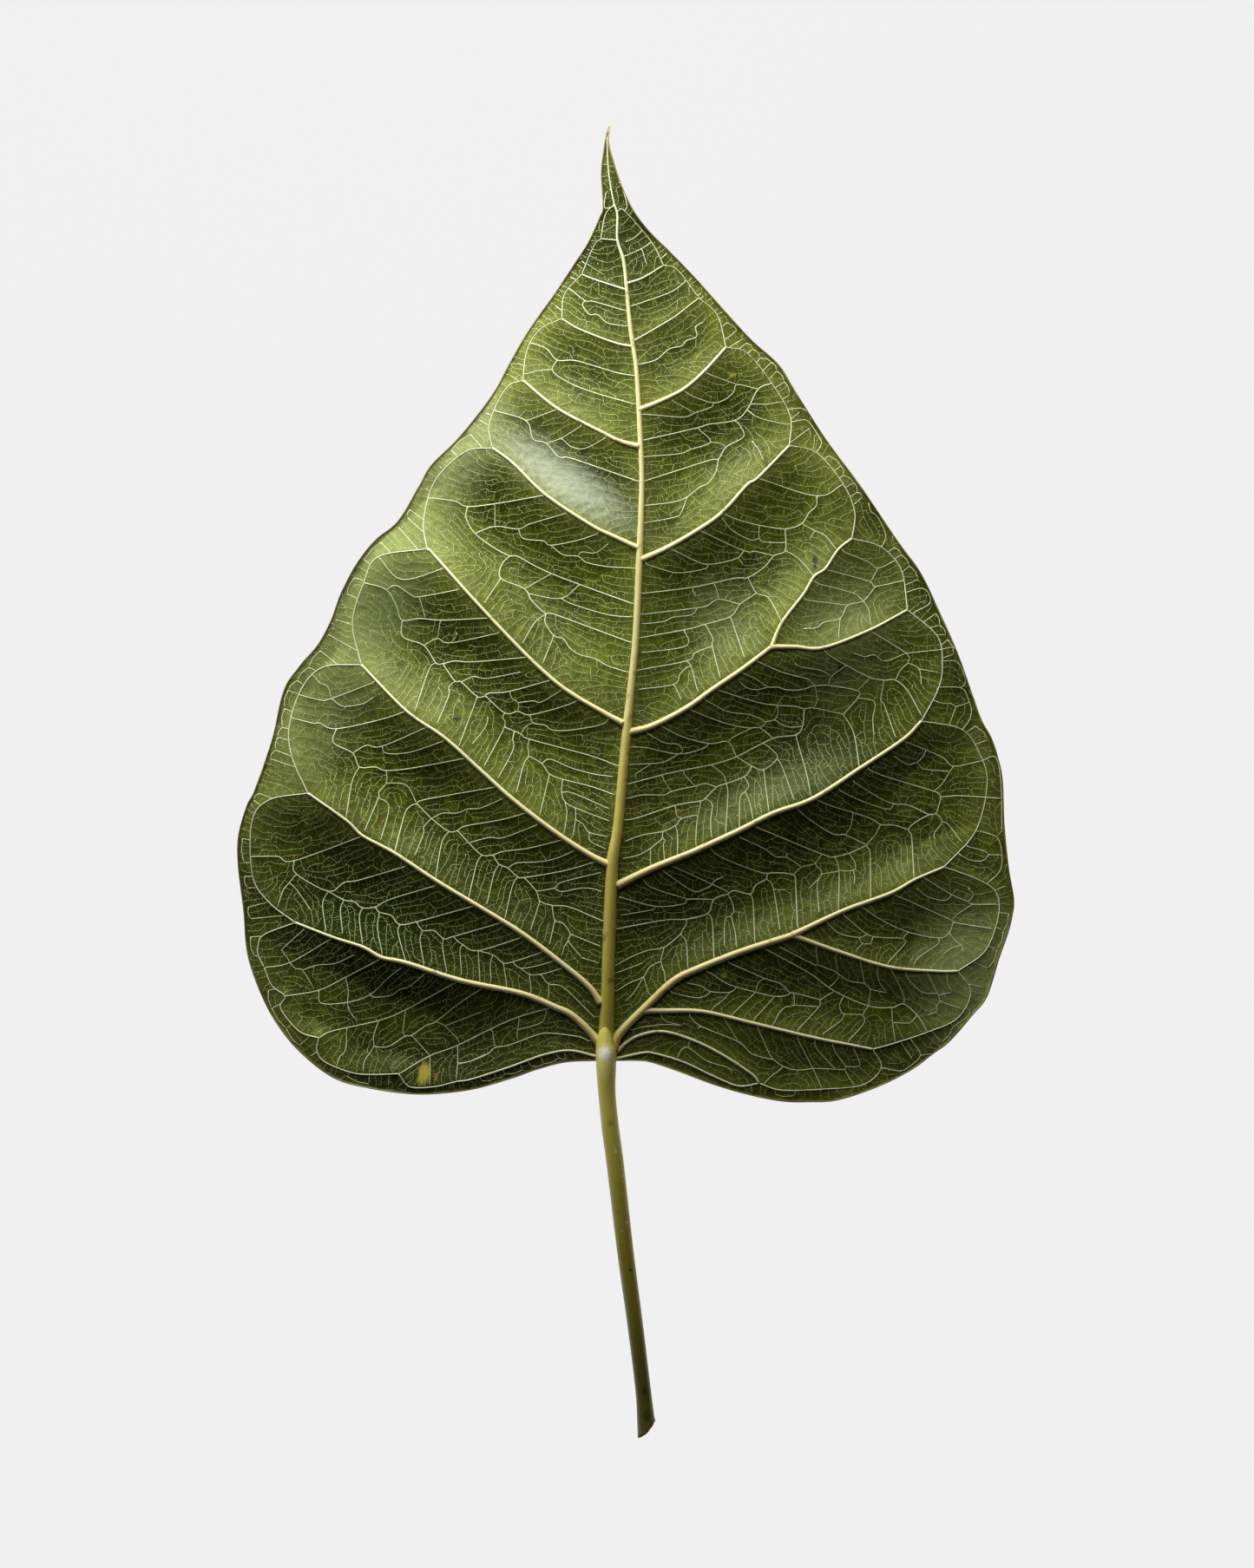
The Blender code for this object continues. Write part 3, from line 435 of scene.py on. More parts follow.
        [(398, 137), (393, 125), (381, 119), (346, 126), (315, 140), (291, 156)],
        [(346, 126), (340, 119), (342, 113), (321, 90)], [(340, 119), (313, 120), (298, 124), (271, 146)],
        [(298, 124), (289, 120), (266, 125), (251, 138)], [(289, 120), (293, 113), (305, 113)],
        [(293, 113), (285, 105)], [(393, 125), (401, 115), (407, 111), (410, 102)],
        [(407, 111), (395, 107), (387, 101)], [(381, 119), (380, 112), (358, 97), (351, 88)],
        [(363, 189), (396, 169), (415, 161), (420, 158), (448, 158)],
        [(396, 169), (390, 163), (382, 163), (368, 167), (355, 177)], [(415, 161), (421, 169), (415, 177)],
        [(420, 158), (400, 145)],
    ],
    "rightLobeLower": [
        [(217, 10), (220, 0), (236, -31), (247, -55)],
        [(236, -31), (220, -33), (205, -30), (191, -21), (185, -12), (171, 19)],
        [(191, -21), (166, -14), (150, 0), (107, 18), (93, 31)], [(150, 0), (132, 30)],
        [(107, 18), (102, 14)], [(85, 19), (67, 24), (60, 32)], [(85, 19), (65, 20), (40, 17), (25, 13)],
        [(258, -1), (262, -12), (274, -29), (273, -33), (284, -51)], [(273, -33), (262, -32), (236, -31)],
        [(274, -29), (288, -29), (290, -24), (282, -6)], [(237, 0), (242, -10), (262, -32)],
        [(218, -33), (217, -40)], [(143, -37), (138, -30), (114, -22), (93, -7), (85, -9), (80, -18)],
        [(93, -7), (93, 0)], [(165, -52), (166, -60)], [(180, -48), (190, -38), (197, -35)],
    ],
}

# How the blade hangs from its veins and arches off the ground
sheetForm = {
    "thickness": 0.34 * mm,
    "panelSag": 2.7 * mm,  # how deep the widest panel between main veins hangs
    "flankPower": 1.5,  # above 1, a panel leaves its veins level and is steepest part way down
    "panelCell": 0.5 * mm,
    "panelPasses": 500,  # rounds in which a panel sinks to its rest
    "smallSag": 0.13 * mm,  # how deep the sheet hangs between cross veins
    "smallCell": 0.25 * mm,
    "smallPasses": 150,
    "archRise": 4.5 * mm,
    "archCrest": 44 * mm,  # where along the leaf the arch is highest
    "archToTip": 64.5 * mm,  # from there to where it has come down, both ways
    "archToLobes": 56 * mm,
    "marginWave": 0.5 * mm,
    "waveCount": 9,  # waves round the margin
    "restHeight": 0.1 * mm,
    "tipLift": 1.9 * mm,  # how far the sheet rises again towards the drip tip
    "tipLiftMiddle": (2 * mm, 104 * mm),
    "tipLiftSpread": 10 * mm,
    "rimSpacing": 0.3 * mm,
    "rimClosest": 0.05 * mm,  # rim points nearer than this to the one before are left out
}


def smoothLine(points, step):
    # evenly spaced points in metres on a smooth curve through the given plan points
    known = np.array(points, float) * planUnit
    padded = np.vstack([2 * known[0] - known[1], known, 2 * known[-1] - known[-2]])
    t = np.linspace(0, 1, curvePieces, endpoint=False)[:, None]
    runs = [
        (2 * b + (c - a) * t + (2 * a - 5 * b + 4 * c - d) * t**2 + (3 * b - a - 3 * c + d) * t**3) / 2
        for a, b, c, d in zip(padded, padded[1:], padded[2:], padded[3:])
    ]
    return evenly(np.vstack(runs + [known[-1:]]), step)


def travelAlong(line):
    return np.concatenate([[0], np.cumsum(np.linalg.norm(np.diff(line[:, :2], axis=0), axis=1))])


def evenly(line, step):
    travel = travelAlong(line)
    stops = np.linspace(0, travel[-1], max(2, round(travel[-1] / step) + 1))
    return np.column_stack([np.interp(stops, travel, column) for column in line.T])


def treeOf(points):
    # a search tree that finds the nearest of these places
    tree = KDTree(len(points))
    for number, (x, y) in enumerate(points):
        tree.insert((x, y, 0), number)
    tree.balance()
    return tree


def marginLine(step):
    return np.vstack([smoothLine(outline[side], step) for side in ("left", "right")])


def insideOf(points, ring):
    x, y = points[:, 0], points[:, 1]
    count = np.zeros(len(points), int)
    for (x0, y0), (x1, y1) in zip(ring, np.roll(ring, -1, axis=0)):
        if y0 != y1:
            spans = (y0 > y) != (y1 > y)
            count += spans & (x < x0 + (x1 - x0) * (y - y0) / (y1 - y0))
    return count % 2 == 1


def mainLines(step):
    # the midrib, the side veins and the loops, each as rows of x, y and width
    lines = [smoothLine(mainVeins["midrib"], step)]
    for rootWidth, endWidth, points in mainVeins["sideVeins"]:
        widths = np.linspace(rootWidth, endWidth, len(points))
        lines.append(smoothLine(np.column_stack([points, widths]), step))
    heights, loopWidths = zip(*mainVeins["loopWidths"].items())
    for points in mainVeins["loops"]:
        lines.append(smoothLine([(x, y, np.interp(y, heights, loopWidths)) for x, y in points], step))
    return lines


class Raster:  # a square grid of places over the blade
    def __init__(self, cell, spare=2):
        ring = marginLine(outline["pointSpacing"])
        self.cell = cell
        self.low = ring.min(axis=0) - spare * cell
        self.size = np.ceil((ring.max(axis=0) + spare * cell - self.low) / cell).astype(int)
        columns, rows = np.meshgrid(*[np.arange(count) for count in self.size], indexing="ij")
        self.places = self.low + np.stack([columns, rows], axis=-1) * cell
        self.blade = insideOf(self.places.reshape(-1, 2), ring).reshape(self.size)

    def cellsOf(self, points):
        cells = np.round((points[:, :2] - self.low) / self.cell).astype(int)
        return tuple(np.clip(cells, 0, self.size - 1).T)

    def read(self, values, points):
        place = (points - self.low) / self.cell
        corner = np.clip(place.astype(int), 0, self.size - 2)
        x, y = (place - corner).T
        i, j = corner.T
        near = values[i, j] * (1 - x) + values[i + 1, j] * x
        far = values[i, j + 1] * (1 - x) + values[i + 1, j + 1] * x
        return near * (1 - y) + far * y

    def hang(self, lines, passes):
        # an even load on a sheet held along the lines: 0 on a line, 1 in the widest panel
        held = np.zeros(self.size, bool)
        for line in lines:
            held[self.cellsOf(line)] = True
        free = self.blade & ~held
        turns = [(1, 0), (-1, 0), (0, 1), (0, -1)]
        around = np.maximum(1, sum(np.roll(self.blade, turn, (0, 1)).astype(int) for turn in turns))
        sag = np.zeros(self.size)
        for _ in range(passes):
            sag = np.where(free, sum(np.roll(sag, turn, (0, 1)) for turn in turns) / around + 1, 0)
        return sag / sag.max()


def joinUp(lines, others, reach):
    # moves each line's ends onto the nearest other line, so that veins meet
    dense = others + lines
    tree = treeOf(np.vstack(dense)[:, :2])
    owner = [number for number, line in enumerate(dense) for _ in line]
    joined = []
    for number, line in enumerate(lines):
        line = line.copy()
        for end in (0, -1):
            near = tree.find_range((line[end, 0], line[end, 1], 0), reach)
            near = [hit for hit in near if owner[hit[1]] != number + len(others)]
            if near:
                x, y, _ = min(near, key=lambda hit: hit[2])[0]
                line[end, :2] = x, y
        joined.append(line)
    return joined


crossForm = {
    "step": 0.25 * mm,
    "joinReach": 0.9 * mm,
    "thinWidth": 0.11 * mm,
    "strongWidth": 0.165 * mm,
    "strongLength": 16 * mm,  # a cross vein this long is as wide as they come
    "standProud": 0.22,
}


def crossLines(mains):
    lines = []
    for group in crossVeins.values():
        for points in group:
            line = smoothLine(points, crossForm["step"])
            share = min(1, travelAlong(line)[-1] / crossForm["strongLength"])
            width = crossForm["thinWidth"] + share * (crossForm["strongWidth"] - crossForm["thinWidth"])
            lines.append(np.column_stack([line, np.full(len(line), width)]))
    return joinUp(lines, mains, crossForm["joinReach"])


mains = mainLines(crossForm["step"])
crosses = crossLines(mains)
print("veins drawn:", len(mains), "main and", len(crosses), "cross veins")

panelRaster = Raster(sheetForm["panelCell"])
panelSag = panelRaster.hang(mainLines(sheetForm["panelCell"] / 2), sheetForm["panelPasses"])
smallRaster = Raster(sheetForm["smallCell"])
heldLines = [evenly(line, sheetForm["smallCell"] / 2) for line in mains + crosses]
smallSag = np.sqrt(smallRaster.hang(heldLines, sheetForm["smallPasses"]))
midribRows = mains[0][mains[0][:, 1].argsort()]
halfWidths = smoothLine(outline["halfWidth"], sheetForm["panelCell"])


def sheetHeight(points):
    # the height of the sheet's middle over the ground
    form = sheetForm
    x, y = points.T
    fromMidrib = x - np.interp(y, midribRows[:, 1], midribRows[:, 0])
    side = np.minimum(1, np.abs(fromMidrib) / np.interp(y, halfWidths[:, 0], halfWidths[:, 1]))
    fromCrest = y - form["archCrest"]
    reach = np.where(fromCrest > 0, form["archToTip"], form["archToLobes"])
    arch = form["archRise"] * (1 - (fromCrest / reach) ** 2) * (1 - side**2)
    wave = form["marginWave"] * np.sin(form["waveCount"] * np.arctan2(fromMidrib, fromCrest)) * side**2
    hung = form["panelSag"] * panelRaster.read(panelSag, points) ** form["flankPower"]
    hung = hung + form["smallSag"] * smallRaster.read(smallSag, points)
    middleX, middleY = form["tipLiftMiddle"]
    away = (x - middleX) ** 2 + (y - middleY) ** 2
    lift = form["tipLift"] * np.exp(-away / (2 * form["tipLiftSpread"] ** 2))
    return form["restHeight"] + arch + wave + lift - hung


print("sheet hung between its veins")

# How the fine veins run: rungs that follow the cross veins, steps between them, and within those
# the short blind ticks and specks. Turns, bends and leans are angles in radians.
netForm = {
    "cell": 0.1 * mm,
    "reach": 9,  # cells over which a vein makes itself felt
    "spare": 12,  # cells of empty ground round the blade
    "flowCell": 1.0 * mm,
    "flowReach": 1.2 * mm,
    "firstGap": (0.2, 1),  # shares of the spacing before the first place on a line, and between others
    "gaps": (0.6, 1.4),
    "seedSpacing": 0.42 * mm,
    "seedRoom": 0.56 * mm,  # how clear of other veins a rung starts
    "meetRoom": 0.36 * mm,  # a rung this near another vein turns to meet it
    "rungReach": 2.8 * mm,
    "rungShares": (0.35, 1),  # of that reach, before a rung turns aside
    "rungTurn": (0.8, 1.3),
    "rungBend": 0.09,
    "bendKept": 0.9,  # the share of a bend that lasts into the next cell
    "rungWidth": 0.115 * mm,
    "rungPoints": 5,  # a rung of fewer points is dropped
    "stepSpacing": 1.05 * mm,
    "stepReach": 1.5 * mm,
    "stepRoom": 0.2 * mm,  # how clear of other veins a step is once it has left its own
    "stepLean": 0.25,
    "stepWidth": 0.08 * mm,
    "touch": 1.2,  # cells within which two veins meet
    "tickSpacing": 0.40 * mm,
    "tickLength": (0.20 * mm, 0.48 * mm),
    "tickLean": 0.2,
    "tickMiddle": 0.6,  # from this share of its length on, a tick counts as laid
    "tickReach": 3,  # cells over which it makes itself felt
    "tickWidth": 0.09 * mm,
    "tickRoom": 0.15 * mm,
    "speckSpacing": 0.46 * mm,
    "speckLength": (0.12 * mm, 0.28 * mm),
    "speckLean": 0.5,
    "speckWidth": 0.15 * mm,
    "speckRoom": 0.11 * mm,
    "lineStep": 0.3 * mm,
    "standProud": 0.16,
    "rimGap": 0.12 * mm,  # where veins end inside the margin
    "rimRoom": 0.3 * mm,  # the same for blind ends and specks
    "sway": 0.1 * mm,
    "swaySize": 0.75 * mm,
    "swayCells": 4,  # this many cells from a cross vein, a fine vein sways in full
    "swayRows": (7.3, 27.3),  # where the noise is read, for x and for y
}


def readFlow(lines):
    # the way the cross veins run near each place, as an angle on the fine grid of places
    coarse = Raster(netForm["flowCell"])
    starts = np.vstack([line[:-1, :2] for line in lines])
    runs = np.vstack([np.diff(line[:, :2], axis=0) for line in lines])
    lengths = np.linalg.norm(runs, axis=1)
    twice = 2 * np.arctan2(runs[:, 1], runs[:, 0])
    flow = np.zeros((*coarse.size, 2))
    for column, places in enumerate(coarse.places):
        away = ((places[:, None] - (starts + runs / 2)) ** 2).sum(axis=2)
        pull = lengths / (away + netForm["flowReach"] ** 2) ** 2
        flow[column, :, 0] = pull @ np.cos(twice)
        flow[column, :, 1] = pull @ np.sin(twice)
    flow /= np.linalg.norm(flow, axis=2, keepdims=True)
    places = smallRaster.places.reshape(-1, 2)
    spread = [coarse.read(flow[..., axis], places).reshape(smallRaster.size) for axis in (0, 1)]
    return np.arctan2(spread[1], spread[0]) / 2


class VeinNet:  # every vein laid so far, and how far each spot of the blade is from the nearest
    def __init__(self, lines):
        self.raster = Raster(netForm["cell"], netForm["spare"])
        self.away = np.full(self.raster.size, netForm["reach"] * netForm["cell"])
        self.at = np.zeros((*self.raster.size, 2))
        for line in lines:
            self.lay(line)

    def cellOf(self, x, y):
        low, cell = self.raster.low, self.raster.cell
        return int((x - low[0]) / cell + 0.5), int((y - low[1]) / cell + 0.5)

    def isBlade(self, x, y):
        return self.raster.blade[self.cellOf(x, y)]

    def roomAt(self, x, y):
        return self.away[self.cellOf(x, y)]

    def nearestTo(self, x, y):
        return tuple(self.at[self.cellOf(x, y)])

    def lay(self, line, reach=netForm["reach"]):
        for x, y in evenly(line, netForm["cell"])[:, :2]:
            i, j = self.cellOf(x, y)
            window = slice(i - reach, i + reach + 1), slice(j - reach, j + reach + 1)
            away = np.hypot(*(self.raster.places[window] - (x, y)).transpose(2, 0, 1))
            closer = away < self.away[window]
            self.away[window][closer] = away[closer]
            self.at[window][closer] = x, y

    def angleAt(self, x, y, heading):
        # the flow's angle there, turned to keep the heading
        i = int((x - smallRaster.low[0]) / smallRaster.cell + 0.5)
        j = int((y - smallRaster.low[1]) / smallRaster.cell + 0.5)
        angle = self.flow[i, j]
        return angle + math.pi if math.cos(angle - heading) < 0 else angle

    def followFlow(self, x, y, heading):
        # a rung from its seed: along the flow, then across to the next vein
        form, line, sway = netForm, [(x, y)], 0.0
        for _ in range(round(dice.uniform(*form["rungShares"]) * form["rungReach"] / form["cell"])):
            sway = form["bendKept"] * sway + dice.gauss(0, form["rungBend"])
            heading = self.angleAt(x, y, heading)
            x += form["cell"] * math.cos(heading + sway)
            y += form["cell"] * math.sin(heading + sway)
            if not self.isBlade(x, y):
                return line
            if self.roomAt(x, y) < form["meetRoom"]:
                return line + [self.nearestTo(x, y)]
            line.append((x, y))
        heading += dice.choice((1, -1)) * dice.uniform(*form["rungTurn"])
        aside = self.crossOver(x, y, heading, 0)
        return line + (aside or [])[1:]

    def crossOver(self, x, y, heading, own=3):
        # the way across to the next vein, or None where there is no room for it; the first few
        # cells lie on the vein of its own that it leaves
        line = [(x, y)]
        for count in range(1, round(netForm["stepReach"] / netForm["cell"])):
            x += netForm["cell"] * math.cos(heading)
            y += netForm["cell"] * math.sin(heading)
            if not self.isBlade(x, y):
                return None
            room = self.roomAt(x, y)
            if count == own and room < netForm["stepRoom"]:
                return None
            if count > own and room < netForm["touch"] * netForm["cell"]:
                return line + [self.nearestTo(x, y)]
            line.append((x, y))
        return None


def withWidth(line, width):
    line = evenly(np.array(line, float), netForm["lineStep"])
    return np.column_stack([line, np.full(len(line), width)])


def scattered(spacing):
    # jittered places over the whole blade
    low, high = rim.min(axis=0), rim.max(axis=0) - spacing
    return [
        (x + dice.uniform(0, spacing), y + dice.uniform(0, spacing))
        for x in np.arange(low[0], high[0], spacing)
        for y in np.arange(low[1], high[1], spacing)
    ]


def placesAlong(line, spacing):
    # jittered places on a line, each with the line's heading there
    places = evenly(line, netForm["cell"])[:, :2]
    at = dice.uniform(*netForm["firstGap"]) * spacing / netForm["cell"]
    while at < len(places) - 2:
        i = int(at)
        at += dice.uniform(*netForm["gaps"]) * spacing / netForm["cell"]
        run = places[i + 1] - places[i]
        yield (*places[i], math.atan2(run[1], run[0]))


# The veins that run from the loops and the side veins' ends to the margin, some joined by an arch
outerForm = {
    "spacing": (1.3 * mm, 2.5 * mm),
    "reach": (1.1 * mm, 9 * mm),  # how far off the margin such a vein may start
    "stopShort": (0.35, 0.9),  # of the margin, in mm
    "lean": 0.12,
    "room": 0.38 * mm,
    "rootPoints": 6,  # points next to its own vein, and the fewest that it has
    "width": 0.12 * mm,
    "archSpan": 3 * mm,
    "archShare": 0.7,
    "archBow": 0.22 * mm,
}


def growOuters(net):
    form = outerForm
    outers = []
    for line in mains[1:]:
        last = None
        for x, y, _ in placesAlong(line, dice.uniform(*form["spacing"])):
            place, _, away = rimTree.find((x, y, 0))
            if not form["reach"][0] < away < form["reach"][1]:
                last = None
                continue
            heading = math.atan2(place.y - y, place.x - x) + dice.gauss(0, form["lean"])
            ahead = np.array([math.cos(heading), math.sin(heading)])
            stop = away - dice.uniform(*form["stopShort"]) * mm
            path = [(x + d * ahead[0], y + d * ahead[1]) for d in np.arange(0, stop, netForm["cell"])]
            crowded = any(net.roomAt(*spot) < form["room"] for spot in path[form["rootPoints"] :])
            if crowded or not all(net.isBlade(*spot) for spot in path):
                last = None
                continue
            if len(path) >= form["rootPoints"]:
                outers.append(withWidth(path, form["width"]))
                net.lay(outers[-1])
                end = np.array(path[-1])
                near = last is not None and np.linalg.norm(end - last) < form["archSpan"]
                if near and dice.random() < form["archShare"]:
                    middle = (end + last) / 2 + form["archBow"] * ahead
                    if net.isBlade(*middle):
                        outers.append(withWidth([last, middle, end], form["width"]))
                        net.lay(outers[-1])
                last = end
    return outers


def growRungs(net):
    seeds = scattered(netForm["seedSpacing"])
    dice.shuffle(seeds)
    rungs = []
    for x, y in seeds:
        if not net.isBlade(x, y) or net.roomAt(x, y) < netForm["seedRoom"]:
            continue
        heading = net.angleAt(x, y, 0)
        ahead, behind = net.followFlow(x, y, heading), net.followFlow(x, y, heading + math.pi)
        line = behind[:0:-1] + ahead
        if len(line) >= netForm["rungPoints"]:
            rungs.append(withWidth(line, netForm["rungWidth"]))
            net.lay(rungs[-1])
    return rungs


def growSteps(net, lines):
    # short veins that leave a line at a right angle and meet the next one
    steps = []
    for line in lines:
        for x, y, heading in placesAlong(line, netForm["stepSpacing"]):
            turn = dice.choice((1, -1)) * math.pi / 2 + dice.gauss(0, netForm["stepLean"])
            step = net.crossOver(x, y, heading + turn)
            if step:
                steps.append(withWidth(step, netForm["stepWidth"]))
                net.lay(steps[-1])
    return steps


def growTicks(net, lines):
    # blind ends that comb out of every line
    form = netForm
    ticks = []
    for line in lines:
        for x, y, heading in placesAlong(line, form["tickSpacing"]):
            turn = heading + dice.choice((1, -1)) * math.pi / 2 + dice.gauss(0, form["tickLean"])
            length = dice.uniform(*form["tickLength"])
            stops = (form["tickMiddle"] * length, length)
            middle, end = [(x + d * math.cos(turn), y + d * math.sin(turn)) for d in stops]
            if net.isBlade(*end) and net.roomAt(*end) > form["tickRoom"]:
                ticks.append(np.array([(x, y, form["tickWidth"]), (*end, 0)]))
                net.lay(np.array([middle, end]), form["tickReach"])
    return ticks


def growSpecks(net):
    # the ends of veins that come up from below
    form = netForm
    specks = []
    for x, y in scattered(form["speckSpacing"]):
        if net.isBlade(x, y) and net.roomAt(x, y) > form["speckRoom"]:
            angle = net.angleAt(x, y, 0) + dice.gauss(0, form["speckLean"])
            length = dice.uniform(*form["speckLength"])
            end = x + length * math.cos(angle), y + length * math.sin(angle)
            specks.append(np.array([(x, y, form["speckWidth"]), (*end, 0)]))
    return specks


def swayed(lines, free):
    # bends the fine veins together, the less the nearer they are to a cross vein
    everything, size = np.vstack(lines), netForm["swaySize"]
    full = netForm["swayCells"] * netForm["cell"]
    share = np.minimum(1, net.raster.read(free, everything[:, :2]) / full)
    for axis, row in enumerate(netForm["swayRows"]):
        bend = [noise.noise((x / size, y / size, row)) for x, y in everything[:, :2]]
        everything[:, axis] += netForm["sway"] * share * bend
    return np.split(everything, np.cumsum([len(line) for line in lines])[:-1])


def withinRim(lines, room, fewest):
    # the longest run of each line's points that lies at least this far inside the margin
    places = np.vstack(lines)[:, :2]
    inward = np.array([rimTree.find((x, y, 0))[2] for x, y in places])
    free = insideOf(places, rim) & (inward > room)
    kept, start = [], 0
    for line in lines:
        own = np.flatnonzero(free[start : start + len(line)])
        start += len(line)
        longest = max(np.split(own, np.flatnonzero(np.diff(own) > 1) + 1), key=len)
        if len(longest) >= fewest:
            kept.append(line[longest])
    return kept


rim = marginLine(sheetForm["rimSpacing"])
rim = rim[np.linalg.norm(rim - np.roll(rim, 1, axis=0), axis=1) > sheetForm["rimClosest"]]
rimTree = treeOf(rim)
net = VeinNet(mains + crosses)
outers = growOuters(net)
fromStrong = net.away.copy()
net.flow = readFlow(crosses + outers)
rungs = growRungs(net)
steps = growSteps(net, mains + crosses + outers + rungs)
ticks = growTicks(net, crosses + outers + rungs + steps)
specks = growSpecks(net)
rungs, steps, ticks, specks = [swayed(lines, fromStrong) for lines in (rungs, steps, ticks, specks)]
outers, rungs, steps = [withinRim(lines, netForm["rimGap"], fewest=3) for lines in (outers, rungs, steps)]
ticks, specks = [withinRim(lines, netForm["rimRoom"], fewest=2) for lines in (ticks, specks)]
print("fine veins grown:", *[len(lines) for lines in (outers, rungs, steps, ticks, specks)])


# Colours are sRGB hex values
def linear(hexColour):
    parts = [int(hexColour[i : i + 2], 16) / 255 for i in (1, 3, 5)]
    return (*[c / 12.92 if c <= 0.04045 else ((c + 0.055) / 1.055) ** 2.4 for c in parts], 1)


def setInputs(tree, node, inputs):
    # an input takes a value, or a link where it is given another node's output
    for name, value in inputs.items():
        if isinstance(value, bpy.types.NodeSocket):
            tree.links.new(value, node.inputs[name])
        else:
            node.inputs[name].default_value = value


def addNode(tree, kind, inputs=None, **settings):
    node = tree.nodes.new(kind)
    for name, value in settings.items():
        setattr(node, name, value)
    setInputs(tree, node, inputs or {})
    return node


def newMaterial(name):
    material = bpy.data.materials.new(name)
    material.use_nodes = True
    tree = material.node_tree
    return material, tree, tree.nodes["Principled BSDF"]


# The blade's two faces: the veined underside, which lies on top here, and the plain one below
faceForm = {
    "lineSpacing": 0.30 * mm,  # between points along the veins
    "veinedSpacing": 0.305 * mm,  # between the other points of that face
    "clearance": 0.19 * mm,  # how clear of the veins' points those stay
    "fineSag": 0.045 * mm,  # how deep the sheet hangs between the finest veins
    "fineReach": 0.35 * mm,
    "plainSpacing": 0.72 * mm,
    "plainClearance": 0.4,  # from the rim, as a share of that
    "veinsideReach": 2.2 * mm,  # how far a main vein pales the blade beside it
}


def gridWithin(spacing, clearance, lines):
    # a hexagonal grid of points over the blade that keeps clear of the lines
    cell, raster = netForm["cell"], net.raster
    taken = ~raster.blade
    reach = round(clearance / cell)
    for i, j in zip(*raster.cellsOf(np.vstack([evenly(line[:, :2], cell) for line in lines]))):
        taken[i - reach : i + reach + 1, j - reach : j + reach + 1] = True
    low, high = raster.low, raster.low + raster.size * cell
    rows = np.arange(low[1], high[1], spacing * math.sqrt(3) / 2)
    places = [
        (x + (number % 2) * spacing / 2, y)
        for number, y in enumerate(rows)
        for x in np.arange(low[0], high[0], spacing)
    ]
    places = np.array(places)
    return places[~taken[raster.cellsOf(places)]]


def triangulate(ring, points):
    # triangles that fill the ring, with the ring's own points first
    everything = np.vstack([ring, points])
    border = [list(range(len(ring)))]
    found = delaunay_2d_cdt([Vector(place) for place in everything.tolist()], [], border, 1, tiny)
    return np.array([tuple(place) for place in found[0]]), [tuple(face) for face in found[2]]


def bands(first, end, count, turned=False):
    # the faces between rings of points that follow one another
    faces = []
    for ring in range(first, end - count, count):
        for k in range(count):
            near, far = ring + k, ring + (k + 1) % count
            face = (near, far, far + count, near + count)
            faces.append((near, *face[:0:-1]) if turned else face)
    return faces


def sidewaysOf(run):
    # the level directions at a right angle to the given ones
    run = run / np.maximum(np.linalg.norm(run, axis=1, keepdims=True), tiny)
    return np.column_stack([-run[:, 1], run[:, 0]])


def makePiece(name, points, faces, materials, slotName, replaced=(), kinds=None, **shares):
    # a mesh drawn in the leaf's plan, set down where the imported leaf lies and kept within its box
    points = np.clip(points, np.array(cadLow) - (*shift, 0), np.array(cadHigh) - (*shift, 0))
    mesh = bpy.data.meshes.new(name)
    mesh.from_pydata(points.tolist(), [], faces)
    mesh.shade_smooth()
    for material in materials:
        mesh.materials.append(material)
    if kinds is not None:
        mesh.polygons.foreach_set("material_index", kinds)
    for share, values in shares.items():
        mesh.attributes.new(share, "FLOAT", "POINT").data.foreach_set("value", values)
    piece = bpy.data.objects.new(name, mesh)
    piece.location = (*shift, 0)
    bpy.context.scene.collection.objects.link(piece)
    bpy.context.view_layer.update()
    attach(piece, "root")
    if replaced:
        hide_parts(*replaced)
    print("built", name, len(mesh.polygons), "faces")


drawn = VeinNet(mains + crosses + outers + rungs + steps)
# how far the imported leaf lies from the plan's own origin
shift = np.array(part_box("leaf_blade")[0][:2]) - rim.min(axis=0)
veinLines = [evenly(line, faceForm["lineSpacing"]) for line in mains + crosses + outers]
veinPoints = np.vstack([line[:, :2] for line in veinLines])
veinPoints = veinPoints[insideOf(veinPoints, rim)]


